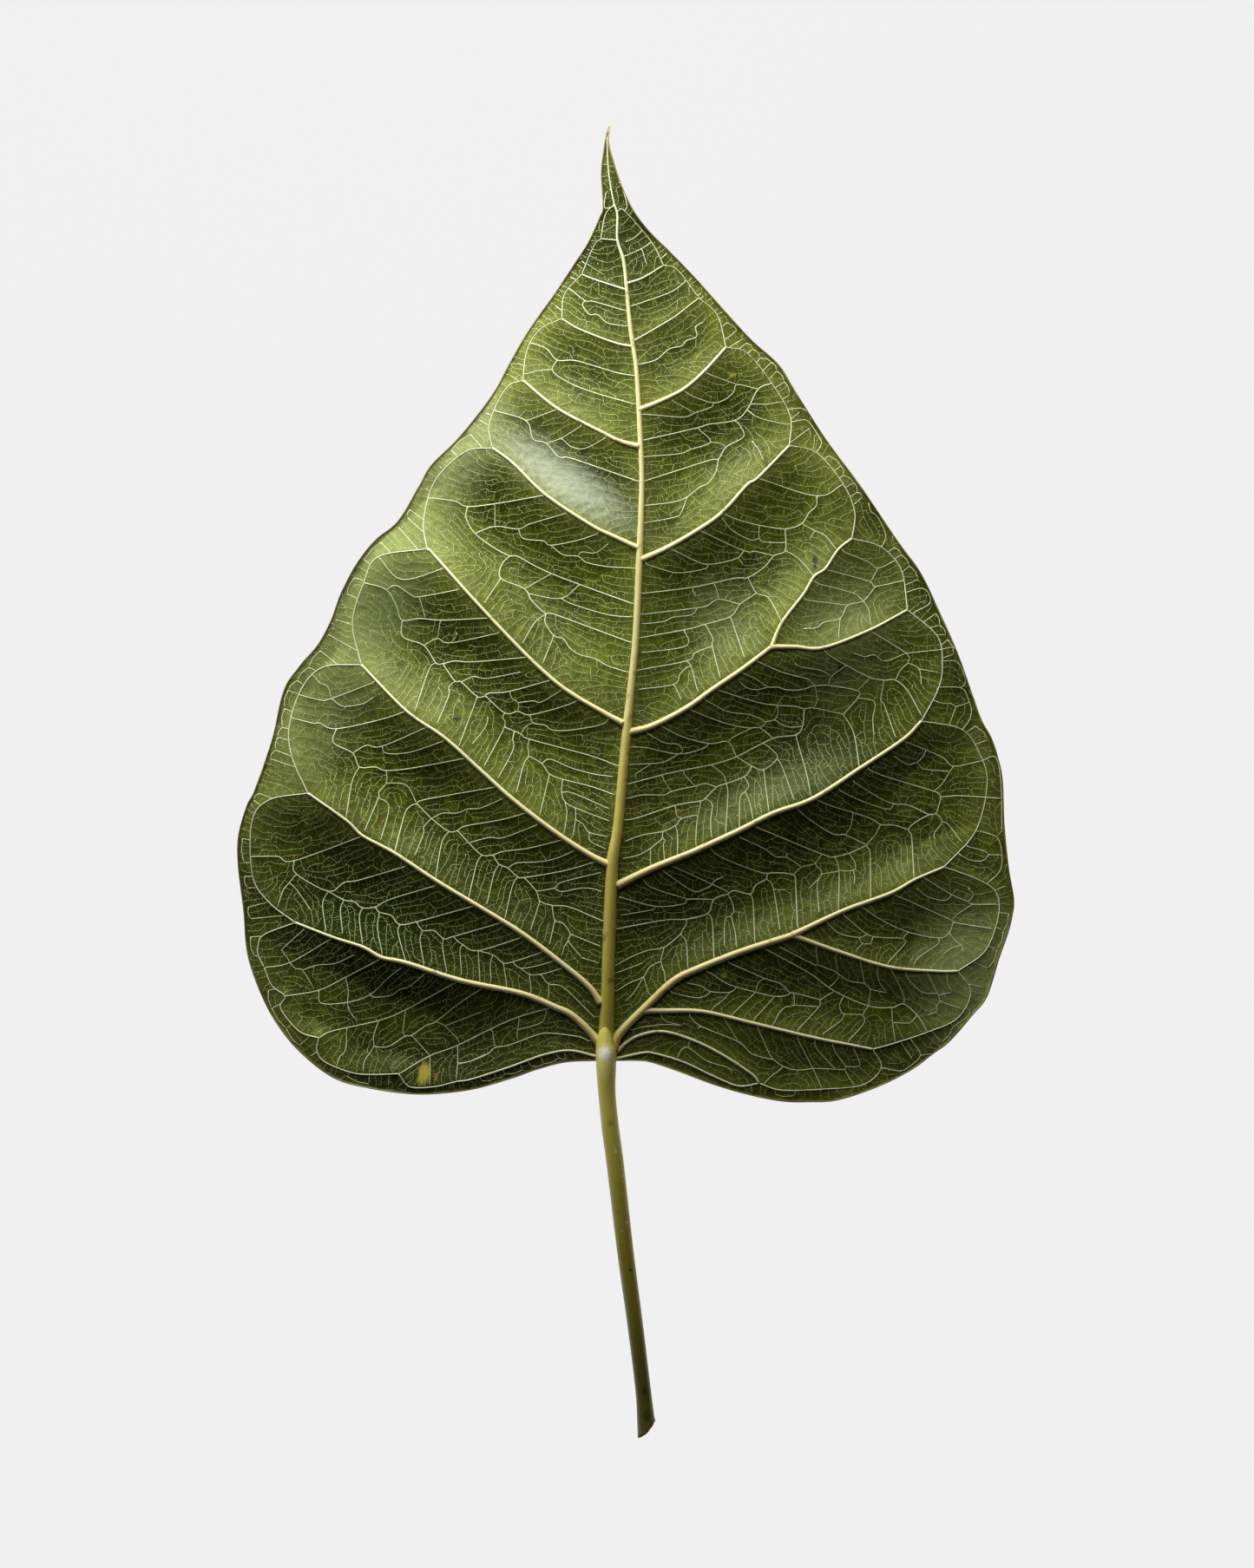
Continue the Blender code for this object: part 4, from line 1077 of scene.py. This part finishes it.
def buildBlade(materials):
    # the sheet, closed along its rim; gives back its veined face, on which the veins are laid
    form, thickness = faceForm, sheetForm["thickness"]
    ringLines = [np.vstack([rim, rim[:1]])]
    close = gridWithin(form["veinedSpacing"], form["clearance"], veinLines + ringLines)
    top, topFaces = triangulate(rim, np.vstack([veinPoints, close]))
    wide = gridWithin(form["plainSpacing"], form["plainClearance"] * form["plainSpacing"], ringLines)
    bottom, bottomFaces = triangulate(rim, wide)
    under = np.maximum(sheetHeight(bottom) - thickness / 2, 0)
    middle = sheetHeight(top)
    over = np.maximum(middle + thickness / 2, np.maximum(middle - thickness / 2, 0) + thickness)
    between = np.minimum(1, net.raster.read(drawn.away, top) / form["fineReach"])
    over -= form["fineSag"] * between**2 * (3 - 2 * between)
    points = np.vstack([np.column_stack([top, over]), np.column_stack([bottom, under])])
    base, around = len(top), len(rim)
    walls = [(i, (i + 1) % around, base + (i + 1) % around, base + i) for i in range(around)]
    faces = topFaces + [tuple(base + i for i in corners[::-1]) for corners in bottomFaces] + walls
    kinds = [0] * len(topFaces) + [1] * (len(bottomFaces) + len(walls))
    tree = treeOf(np.vstack(mains)[:, :2])
    nearMain = [math.exp(-tree.find((x, y, 0))[2] / form["veinsideReach"]) for x, y in top]
    nearMain += [0.0] * len(bottom)
    makePiece("leafBlade", points, faces, materials, "leaf_blade", ["leaf_blade"], kinds, nearMain=nearMain)
    return BVHTree.FromPolygons(points[:base].tolist(), topFaces)


def heightOn(surface, points):
    # the height of the blade's face under each point, or of its nearest edge outside the blade
    heights = []
    for x, y in points[:, :2]:
        hit = surface.ray_cast(Vector((x, y, 1)), Vector((0, 0, -1)))[0]
        if hit is None:
            hit = surface.find_nearest(Vector((x, y, 0)))[0]
        heights.append(hit.z)
    return np.array(heights)


veinForm = {
    "wideHalf": 0.2 * mm,  # from this half width on, a vein's sides reach down to the sheet beside it
    "sink": 0.05 * mm,  # how far a vein's foot reaches into the sheet
    "roundPoints": 9,
    "flatTop": [(-1, -1), (-0.55, 0.85), (0.55, 0.85), (1, -1)],
    "tent": [(-1, -1), (0, 1), (1, -1)],
    "sliverSink": 0.03 * mm,
    "sliverCrest": 0.35,  # where a blind end is thickest, as a share of its length
}


def sweep(lines, surface, profile, proud):
    # closed tubes along the lines: each profile row is a share of the half width and of the height
    across, up = np.array(profile).T
    points, faces, widths = [], [], []
    for line in lines:
        sideways = sidewaysOf(np.gradient(line[:, :2], axis=0))
        half = line[:, 2:3] / 2
        middle = heightOn(surface, line)[:, None]
        low = middle * np.ones(len(across))
        if half.max() > veinForm["wideHalf"]:
            sides = [line[:, :2] + side * half * sideways for side in (-1, 1)]
            left, right = [heightOn(surface, side)[:, None] for side in sides]
            low = np.where(across < 0, left, np.where(across > 0, right, middle))
            low = np.minimum(low, middle)
        z = low + (middle - low) * np.maximum(up, 0) + 2 * half * proud * np.maximum(up, 0)
        z = z + veinForm["sink"] * np.minimum(up, 0)
        x = line[:, 0:1] + sideways[:, 0:1] * half * across
        y = line[:, 1:2] + sideways[:, 1:2] * half * across
        first, count = len(points), len(across)
        points.extend(zip(x.ravel(), y.ravel(), z.ravel()))
        widths.extend(np.repeat(line[:, 2], count))
        faces += bands(first, len(points), count)
        faces.append(tuple(range(first, first + count))[::-1])
        faces.append(tuple(range(len(points) - count, len(points))))
    return np.array(points), faces, np.array(widths)


def flaredMains():
    # the main veins, each side vein wider where it leaves the midrib
    form = mainVeins
    lines = [mains[0]]
    for line in mains[1:]:
        line = line.copy()
        line[:, 2] *= 1 + form["flare"] * np.exp(-travelAlong(line) / form["flareLength"])
        lines.append(line)
    return lines


def arc(count):
    # the profile of a round vein on a flat foot
    angles = np.linspace(math.pi, 0, count)
    return [(-1, -1)] + [(math.cos(a), math.sin(a)) for a in angles] + [(1, -1), (0, -1)]


def slivers(lines, surface, proud):
    # closed slivers of four triangles, thick near their start and tapering to their end
    points, faces, sink = [], [], veinForm["sliverSink"]
    sides = ((0, 2, 1), (0, 1, 3), (1, 2, 3), (2, 0, 3))
    for (x, y, width), (endX, endY, _) in lines:
        run = np.array([endX - x, endY - y])
        aside = np.array([-run[1], run[0]]) / max(np.linalg.norm(run), tiny) * width / 2
        place, end = np.array([x, y]), np.array([endX, endY])
        crest = place + veinForm["sliverCrest"] * run
        low, far, high = heightOn(surface, np.array([place, end, crest]))
        first = len(points)
        points += [(*(place + aside), low - sink), (*(place - aside), low - sink), (*end, far - sink)]
        points.append((*crest, high + proud * width))
        faces += [tuple(first + i for i in corners) for corners in sides]
    return np.array(points), faces


def buildVeins(surface, materials):
    form = veinForm
    jobs = [
        ("mainVeins", flaredMains(), arc(form["roundPoints"]), mainVeins["standProud"]),
        ("crossVeins", crosses + outers, form["flatTop"], crossForm["standProud"]),
        ("rungVeins", rungs, form["tent"], netForm["standProud"]),
        ("stepVeins", steps, form["tent"], netForm["standProud"]),
    ]
    for name, lines, profile, proud in jobs:
        points, faces, widths = sweep(lines, surface, profile, proud)
        makePiece(name, points, faces, [materials[name]], "leaf_blade", thickness=widths)
    for name, lines in (("blindTicks", ticks), ("blindSpecks", specks)):
        points, faces = slivers(lines, surface, netForm["standProud"])
        makePiece(name, points, faces, [materials[name]], "leaf_blade")


stalkForm = {
    "line": [
        (-2, 24, 12), (-3, 10, 17), (-3, -3, 21), (-2, -13, 24), (-2, -28, 23), (-1, -60, 20),
        (3, -100, 20), (8, -137, 20), (20, -240, 19), (32, -330, 18), (41, -405, 18), (45, -450, 22),
    ],
    "domeLength": 3.0 * mm,
    "domeStart": 0.02,  # the dome's first ring, as a share of the width
    "knobRise": 0.30,  # how high the knob's middle lies over the sheet, as a share of its width
    "ringSpacing": 0.22 * mm,
    "sides": 32,
    "cutSlant": 0.85,
    "cutBow": 0.35 / mm,
    "cutRagged": 0.07 * mm,
    "cutRings": 8,
    "driedRings": 2,
    # the cut face: rings that shrink to its middle, the inner ones set back by so many mm
    "cutFace": [(0.86, 0.04), (0.6, 0.10), (0.3, 0.06), (0.04, 0.0)],
}


def buildStalk(materials):
    form = stalkForm
    line = smoothLine(form["line"], form["ringSpacing"])
    travel = travelAlong(line)
    dome = np.sqrt(1 - (1 - np.minimum(1, travel / form["domeLength"])) ** 2)
    half = line[:, 2] / 2
    sideways = sidewaysOf(np.gradient(line[:, :2], axis=0))
    run = np.column_stack([sideways[:, 1], -sideways[:, 0]])
    knob = sheetHeight(line[:1, :2])[0] + form["knobRise"] * line[0, 2]
    middle = np.maximum(half + (knob - half) * (1 - travel / travel[-1]), half)
    angles = np.linspace(0, 2 * math.pi, form["sides"], endpoint=False)
    points = []
    for number in range(len(line)):
        radius = half[number] * (form["domeStart"] + (1 - form["domeStart"]) * dome[number])
        out, up = radius * np.cos(angles), radius * np.sin(angles)
        back = np.zeros(form["sides"])
        fromCut = len(line) - 1 - number
        if fromCut < form["cutRings"]:
            back = (out * form["cutSlant"] + out**2 * form["cutBow"]) * (1 - fromCut / form["cutRings"])
        if fromCut == 0:
            back = back + form["cutRagged"] * np.array([dice.uniform(-1, 1) for _ in angles])
        x = line[number, 0] + out * sideways[number, 0] - back * run[number, 0]
        y = line[number, 1] + out * sideways[number, 1] - back * run[number, 1]
        points.extend(zip(x, y, middle[number] + up))
    count, cutStart = form["sides"], len(points)
    faces = bands(0, cutStart, count, turned=True)
    faces.append(tuple(range(count)))
    dried = form["driedRings"] * count
    kinds = [0] * (len(faces) - dried) + [1] * dried
    last = np.array(points[-count:])
    centre = last.mean(axis=0)
    for share, inset in form["cutFace"]:
        ring = centre + (last - centre) * share
        ring[:, :2] -= run[-1] * inset * mm
        points.extend(map(tuple, ring))
    faces += bands(cutStart - count, len(points), count, turned=True)
    faces.append(tuple(range(len(points) - count, len(points)))[::-1])
    kinds += [1] * (len(faces) - len(kinds))
    makePiece("leafStalk", np.array(points), faces, materials, "leaf_stalk", ["leaf_stalk"], kinds)


marginForm = {"radius": 0.08 * mm, "lift": 0.09 * mm, "sides": 6}


def buildMargin(surface, material):
    # the thin dry rim all along the outline, just inside it
    form = marginForm
    inward = sidewaysOf(np.roll(rim, -1, axis=0) - np.roll(rim, 1, axis=0))
    centre = rim + inward * form["radius"]
    height = heightOn(surface, centre) + form["lift"] - form["radius"]
    angles = np.linspace(0, 2 * math.pi, form["sides"], endpoint=False)
    out, up = form["radius"] * np.cos(angles), form["radius"] * np.sin(angles)
    x = centre[:, 0:1] + inward[:, 0:1] * out
    y = centre[:, 1:2] + inward[:, 1:2] * out
    points = np.column_stack([x.ravel(), y.ravel(), (height[:, None] + up).ravel()])
    count, total = form["sides"], len(points)
    faces = [tuple(i % total for i in face) for face in bands(0, total + count, count)]
    makePiece("leafMargin", points, faces, [material], "leaf_blade")


# Marks on the underside: middle and half sizes in tenths of a millimetre, turn in degrees, colour,
# strength
marks = [
    (-212, -37, 7, 13, -15, "#c9b43a", 0.9),
    (-198, -40, 3, 4, 0, "#b06a25", 0.4),
    (134, 77, 4, 4, 0, "#a9ad3c", 0.8),
    (-172, 372, 5, 4, 30, "#14150b", 0.9),
    (238, 552, 3, 9, 0, "#15170f", 1.0),
    (267, 432, 4, 4, 0, "#171a0c", 0.9),
    (143, 767, 4, 3, 0, "#b2a93a", 0.7),
    (-262, 252, 2, 9, -30, "#5a3c1c", 0.8),
    (-362, 213, 3, 3, 0, "#b5702c", 0.3),
    (80, 265, 3, 3, 0, "#b5622a", 0.5),
]

# Where the wax shines whiter, and where it is worn off and hardly shines
shineSpots = [
    (-52, 655, 120, 50, -34, "#f4f7e6", 0.90),
    (-122, 682, 26, 34, -20, "#141808", 0.50),
    (-295, 145, 130, 80, -20, "#141808", 0.95),
    (-150, 205, 80, 45, -25, "#141808", 0.80),
    (-260, 285, 60, 50, -30, "#141808", 0.70),
    (375, 500, 60, 80, 15, "#141808", 0.90),
    (300, 350, 90, 60, 26, "#141808", 0.80),
]

# The very end of the drip tip, thin and dry
paleTip = [(2, 1054, 12, 9, 0, "#b9ab80", 0.85)]

# Painted light and shade: broad parts of the blade painted a deeper green where they are to look shaded,
# and paler, up to a whitish painted highlight, where they are to look lit
paintedLightAndShade = [
    (0, 930, 95, 125, 0, "#1e2607", 0.88),
    (-270, 510, 55, 250, -26, "#a2b06d", 0.43),
    (-52, 648, 88, 26, -34, "#ccd2ba", 0.48),
    (-160, 690, 40, 70, -35, "#b8c088", 0.35),
    (270, 470, 60, 90, -10, "#a2b06d", 0.33),
    (125, 500, 45, 45, 0, "#a2b06d", 0.20),
    (-265, 130, 190, 105, -15, "#1b2508", 0.85),
    (-200, -30, 150, 50, 5, "#1b2508", 0.75),
    (-130, 205, 70, 40, -20, "#1b2508", 0.55),
    (240, 310, 130, 60, 26, "#1e290b", 0.78),
    (125, 275, 50, 38, 20, "#1b2508", 0.50),
    (330, -20, 80, 40, -10, "#1b2508", 0.50),
    (375, 500, 45, 70, 15, "#1e290b", 0.60),
    (20, 130, 190, 120, 0, "#171e05", 0.50),
    (410, 80, 60, 90, 0, "#a2b06d", 0.50),
]

# A painted highlight on the pale knob, where the stalk meets the blade: a near-white middle in a pale
# yellow halo
knobPaintedHighlight = [
    (-3, -20, 15, 26, 0, "#e8df86", 0.9),
    (-3, -13, 9, 11, 0, "#fffef0", 1.0),
]

# Pores and smudges on the stalk
stalkMarks = [
    (3, -93, 4, 4, 0, "#6b6225", 0.5),
    (9, -125, 1, 3, 10, "#e8e2c0", 0.8),
    (17, -154, 1, 2, 0, "#d8d2a8", 0.8),
    (22, -207, 2, 1, 30, "#dcd8b0", 0.7),
    (16, -217, 1, 1, 0, "#dcd8b0", 0.7),
    (26, -262, 2, 2, 0, "#20180a", 0.8),
    (42, -402, 3, 4, 0, "#25200a", 0.5),
    (44, -430, 4, 6, 0, "#1f1c08", 0.6),
]

# A pattern is given by the size of its lumps, the noise values at which it begins and is full, and
# its detail; a grain by its size, strength, depth and detail
bladeLooks = {
    "dark": "#262f05",
    "middle": "#424d07",
    "light": "#6a7318",
    "veinside": "#88903d",
    "patches": (9 * mm, 0.35, 0.68, 3.0),
    "cells": (1.1 * mm, 0.42, 0.7, 3.0),
    "cellShare": 0.5,
    "veinsideShare": 0.35,
    "grain": (0.16 * mm, 0.35, 0.03 * mm, 2.0),
    "roughness": 0.42,
    "gloss": 0.7,
    "glossTint": "#d2dc90",
    "ior": 1.45,
    "upperFace": "#1f3312",
    "upperRoughness": 0.3,
}

veinLooks = {
    "main": [  # colour by width in metres
        (0.0002, "#d8dcb6"), (0.0005, "#e4dca0"), (0.0009, "#dccd84"), (0.0012, "#cdbc5e"),
        (0.0017, "#b3a544"),
    ],
    "flecks": (1.6 * mm, 0.60, 0.72, 4.0),
    "fleck": "#5f4218",
    "fleckShare": 0.55,
    "grain": (0.25 * mm, 0.1, 0.02 * mm, 2.0),
    "mainRoughness": 0.45,
    "cross": "#e0e8bc",
    "rung": "#d8e2a0",
    "step": "#cfd992",
    "tick": "#bfca7a",
    "speck": "#eff4c0",
    "patches": (4 * mm, 0.3, 0.7, 3.0),
    "patchShare": 0.18,
    "roughness": 0.5,
    "gloss": 0.25,
}

marginLooks = {
    "brown": "#6d4722",
    "yellow": "#94854a",
    "stretches": (6 * mm, 0.4, 0.62, 3.0),
    "roughness": 0.55,
}

stalkLooks = {
    "foot": "#5a5217",
    "middle": "#8b8029",
    "head": "#c3b751",
    "toMiddle": (-43 * mm, -24 * mm),  # where along the leaf one colour passes into the next
    "toHead": (-28 * mm, -4 * mm),
    "smudges": (1.2 * mm, 0.58, 0.72, 5.0),
    "smudge": "#4a4218",
    "smudgeShare": 0.3,
    "grain": (0.3 * mm, 0.12, 0.04 * mm, 2.0),
    "roughness": 0.4,
    "fibres": (0.25 * mm, 0.35, 0.65, 4.0),  # those of the cut
    "cutDark": "#3a1d14",
    "cutLight": "#7d5a45",
    "cutRoughness": 0.7,
}

# Shares of a mark's half size at which it is full and at which it is gone
markForm = {
    "raggedSize": 0.5 * mm,
    "raggedDetail": 3.0,
    "ragged": 0.9,  # how far the noise eats into its edge
    "broad": (0.6, 1.9),
    "glowing": (0.6, 1.6),
    "small": (0.95, 1.75),
    "sharp": (1.15, 1.65),
}


def noiseAt(tree, place, size, detail):
    # noise whose lumps are about this size in metres
    inputs = {"Vector": place, "Scale": 1 / size, "Detail": detail, "Roughness": 0.55}
    return addNode(tree, "ShaderNodeTexNoise", inputs).outputs["Fac"]


def ramp(tree, share, low, high):
    inputs = {"Value": share, "From Min": low, "From Max": high}
    return addNode(tree, "ShaderNodeMapRange", inputs, interpolation_type="SMOOTHSTEP").outputs["Result"]


def pattern(tree, place, form):
    size, begins, full, detail = form
    return ramp(tree, noiseAt(tree, place, size, detail), begins, full)


def arithmetic(tree, operation, first, second):
    return addNode(tree, "ShaderNodeMath", {0: first, 1: second}, operation=operation).outputs[0]


def blend(tree, share, under, over, strength=None):
    # from one colour to the other, or only so far towards it as the strength says
    if strength is not None:
        share = arithmetic(tree, "MULTIPLY", share, strength)
    under, over = [linear(hue) if isinstance(hue, str) else hue for hue in (under, over)]
    return addNode(tree, "ShaderNodeMix", {0: share, 6: under, 7: over}, data_type="RGBA").outputs[2]


def addMarks(tree, place, colour, spots, edge):
    # ragged spots of the given colours, each an ellipse in plan
    full, gone = markForm[edge]
    ragged = noiseAt(tree, place, markForm["raggedSize"], markForm["raggedDetail"])
    for x, y, wide, high, turn, hue, strength in spots:
        spot = addNode(
            tree, "ShaderNodeMapping", {
                "Vector": place,
                "Location": (x * planUnit, y * planUnit, 0),
                "Rotation": (0, 0, math.radians(turn)),
                "Scale": (wide * planUnit, high * planUnit, 1),
            }, vector_type="TEXTURE",
        ).outputs["Vector"]
        reach = addNode(tree, "ShaderNodeVectorMath", {0: spot}, operation="LENGTH").outputs["Value"]
        reach = arithmetic(tree, "ADD", reach, arithmetic(tree, "MULTIPLY", ragged, markForm["ragged"]))
        colour = blend(tree, ramp(tree, reach, gone, full), colour, hue, strength)
    return colour


def grain(tree, place, form):
    size, strength, depth, detail = form
    inputs = {"Height": noiseAt(tree, place, size, detail), "Strength": strength, "Distance": depth}
    return addNode(tree, "ShaderNodeBump", inputs).outputs["Normal"]


def leafMaterial(name):
    # a new material, and the place on the leaf that its patterns follow
    material, tree, shader = newMaterial(name)
    return material, tree, shader, addNode(tree, "ShaderNodeTexCoord").outputs["Object"]


# The living underside of a thick, waxy fig leaf, dried a little: patchy green under a fine grain
# that breaks its gloss into specks
def undersideMaterial():
    material, tree, shader, place = leafMaterial("waxyFigLeafUnderside")
    looks = bladeLooks
    near = addNode(tree, "ShaderNodeAttribute", attribute_name="nearMain").outputs["Fac"]
    colour = blend(tree, pattern(tree, place, looks["patches"]), looks["dark"], looks["middle"])
    cells = pattern(tree, place, looks["cells"])
    colour = blend(tree, cells, colour, looks["light"], looks["cellShare"])
    colour = blend(tree, near, colour, looks["veinside"], looks["veinsideShare"])
    # painted shade and painted light: broad darker and paler areas, with a whitish painted highlight
    colour = addMarks(tree, place, colour, paintedLightAndShade, "broad")
    setInputs(tree, shader, {
        "Base Color": addMarks(tree, place, colour, marks + paleTip, "small"),
        "Specular Tint": addMarks(tree, place, looks["glossTint"], shineSpots, "broad"),
        "Normal": grain(tree, place, looks["grain"]),
        "Roughness": looks["roughness"],
        "Specular IOR Level": looks["gloss"],
        "IOR": looks["ior"],
    })
    return material


# The glossier, darker face that the leaf turns to the sun, here against the ground
def upperFaceMaterial():
    material, tree, shader, place = leafMaterial("glossyFigLeafUpperFace")
    looks = bladeLooks
    patches = pattern(tree, place, looks["patches"])
    setInputs(tree, shader, {
        "Base Color": blend(tree, patches, looks["upperFace"], looks["dark"]),
        "Roughness": looks["upperRoughness"],
        "IOR": looks["ior"],
    })
    return material


# The woody, yellow tissue of the thick veins, paler where they thin out, with dry brown flecks
def mainVeinMaterial():
    material, tree, shader, place = leafMaterial("woodyVein")
    looks = veinLooks
    width = addNode(tree, "ShaderNodeAttribute", attribute_name="thickness").outputs["Fac"]
    (start, colour), *wider = looks["main"]
    for end, hue in wider:
        colour = blend(tree, ramp(tree, width, start, end), colour, hue)
        start = end
    flecks = pattern(tree, place, looks["flecks"])
    setInputs(tree, shader, {
        "Base Color": blend(tree, flecks, colour, looks["fleck"], looks["fleckShare"]),
        "Normal": grain(tree, place, looks["grain"]),
        "Roughness": looks["mainRoughness"],
    })
    return material


# The pale, dull tissue of the finer veins, greener in places where the blade shows through
def fineVeinMaterial(name, hue):
    material, tree, shader, place = leafMaterial(name)
    looks = veinLooks
    patches = pattern(tree, place, looks["patches"])
    setInputs(tree, shader, {
        "Base Color": blend(tree, patches, hue, bladeLooks["light"], looks["patchShare"]),
        "Roughness": looks["roughness"],
        "Specular IOR Level": looks["gloss"],
    })
    return material


# The dry rim of the blade, reddish brown with yellow stretches
def marginMaterial():
    material, tree, shader, place = leafMaterial("dryLeafMargin")
    looks = marginLooks
    colour = blend(tree, pattern(tree, place, looks["stretches"]), looks["brown"], looks["yellow"])
    setInputs(tree, shader, {
        "Base Color": addMarks(tree, place, colour, paleTip, "sharp"),
        "Roughness": looks["roughness"],
    })
    return material


# The green bark of a leaf stalk, olive at the blade and darker below, with pale pores
def stalkMaterial():
    material, tree, shader, place = leafMaterial("greenStalkBark")
    looks = stalkLooks
    along = addNode(tree, "ShaderNodeSeparateXYZ", {"Vector": place}).outputs["Y"]
    colour = blend(tree, ramp(tree, along, *looks["toMiddle"]), looks["foot"], looks["middle"])
    colour = blend(tree, ramp(tree, along, *looks["toHead"]), colour, looks["head"])
    smudges = pattern(tree, place, looks["smudges"])
    colour = blend(tree, smudges, colour, looks["smudge"], looks["smudgeShare"])
    # painted highlight on the knob
    colour = addMarks(tree, place, colour, knobPaintedHighlight, "glowing")
    setInputs(tree, shader, {
        "Base Color": addMarks(tree, place, colour, stalkMarks, "sharp"),
        "Normal": grain(tree, place, looks["grain"]),
        "Roughness": looks["roughness"],
    })
    return material


# The dried cut through the stalk, dark reddish brown
def cutMaterial():
    material, tree, shader, place = leafMaterial("driedStalkCut")
    looks = stalkLooks
    fibres = pattern(tree, place, looks["fibres"])
    setInputs(tree, shader, {
        "Base Color": blend(tree, fibres, looks["cutDark"], looks["cutLight"]),
        "Roughness": looks["cutRoughness"],
    })
    return material


surface = buildBlade([undersideMaterial(), upperFaceMaterial()])
buildVeins(surface, {
    "mainVeins": mainVeinMaterial(),
    "crossVeins": fineVeinMaterial("crossVein", veinLooks["cross"]),
    "rungVeins": fineVeinMaterial("rungVein", veinLooks["rung"]),
    "stepVeins": fineVeinMaterial("stepVein", veinLooks["step"]),
    "blindTicks": fineVeinMaterial("blindVeinEnd", veinLooks["tick"]),
    "blindSpecks": fineVeinMaterial("risingVeinEnd", veinLooks["speck"]),
})
buildMargin(surface, marginMaterial())
buildStalk([stalkMaterial(), cutMaterial()])

studio = {
    "floorSize": 1.2,
    "floorDrop": 0.02 * mm,
    "floorBase": "#0c0c0c",
    "floorGlow": "#f1f1f1",  # it glows by itself, so that no shadow falls on it
    "floorGlowStrength": 0.985,
    "worldStrength": 0.01,
    # a low wide lamp beyond the tip models the veins, two small ones above it gloss the panels
    "lamps": [
        {
            "name": "key", "power": 0.55, "size": 0.095, "spread": 2.5,
            "place": (-0.09, 0.225, 0.05), "aim": (-0.04, -0.03, 0.0),
        },
        {
            "name": "soft", "power": 0.03, "size": 0.045, "spread": 2.2,
            "place": (-0.06, 0.125, 0.12), "aim": (-0.025, 0.015, 0.0),
        },
        {
            "name": "glint", "power": 0.09, "size": 0.045, "spread": 2.9,
            "place": (0.0, 0.13, 0.09), "aim": (-0.01, 0.05, 0.0),
        },
    ],
    "cameraPlace": (0.00015, -0.00035, 0.9),
    "frameHeight": 0.1807,
}


def buildStudio():
    form = studio
    size = form["floorSize"] / 2
    corners = [(-size, -size, 0), (size, -size, 0), (size, size, 0), (-size, size, 0)]
    mesh = bpy.data.meshes.new("floor")
    mesh.from_pydata(corners, [], [(0, 1, 2, 3)])
    floor = bpy.data.objects.new("floor", mesh)
    floor.location.z = -form["floorDrop"]
    material, tree, shader = newMaterial("paleSheet")  # pale, dull and without a shadow
    setInputs(tree, shader, {
        "Base Color": linear(form["floorBase"]),
        "Roughness": 1.0,
        "Specular IOR Level": 0.0,
        "Emission Color": linear(form["floorGlow"]),
        "Emission Strength": form["floorGlowStrength"],
    })
    mesh.materials.append(material)
    bpy.context.scene.collection.objects.link(floor)
    world = bpy.data.worlds.new("studio")
    world.use_nodes = True
    background = world.node_tree.nodes["Background"]
    setInputs(world.node_tree, background, {"Color": (1, 1, 1, 1), "Strength": form["worldStrength"]})
    bpy.context.scene.world = world
    for lampForm in form["lamps"]:
        light = bpy.data.lights.new(lampForm["name"], "AREA")
        light.energy = lampForm["power"]
        light.size = lampForm["size"]
        light.spread = lampForm["spread"]
        lamp = bpy.data.objects.new(lampForm["name"], light)
        lamp.location = lampForm["place"]
        aim = Vector(lampForm["aim"]) - lamp.location
        lamp.rotation_euler = aim.to_track_quat("-Z", "Y").to_euler()
        bpy.context.scene.collection.objects.link(lamp)
    lens = bpy.data.cameras.new("camera")
    lens.lens = lens.sensor_width * form["cameraPlace"][2] / form["frameHeight"]
    camera = bpy.data.objects.new("camera", lens)
    camera.location = form["cameraPlace"]
    bpy.context.scene.collection.objects.link(camera)
    bpy.context.scene.camera = camera
    bpy.context.scene.view_settings.view_transform = "Standard"


buildStudio()
print("studio set")
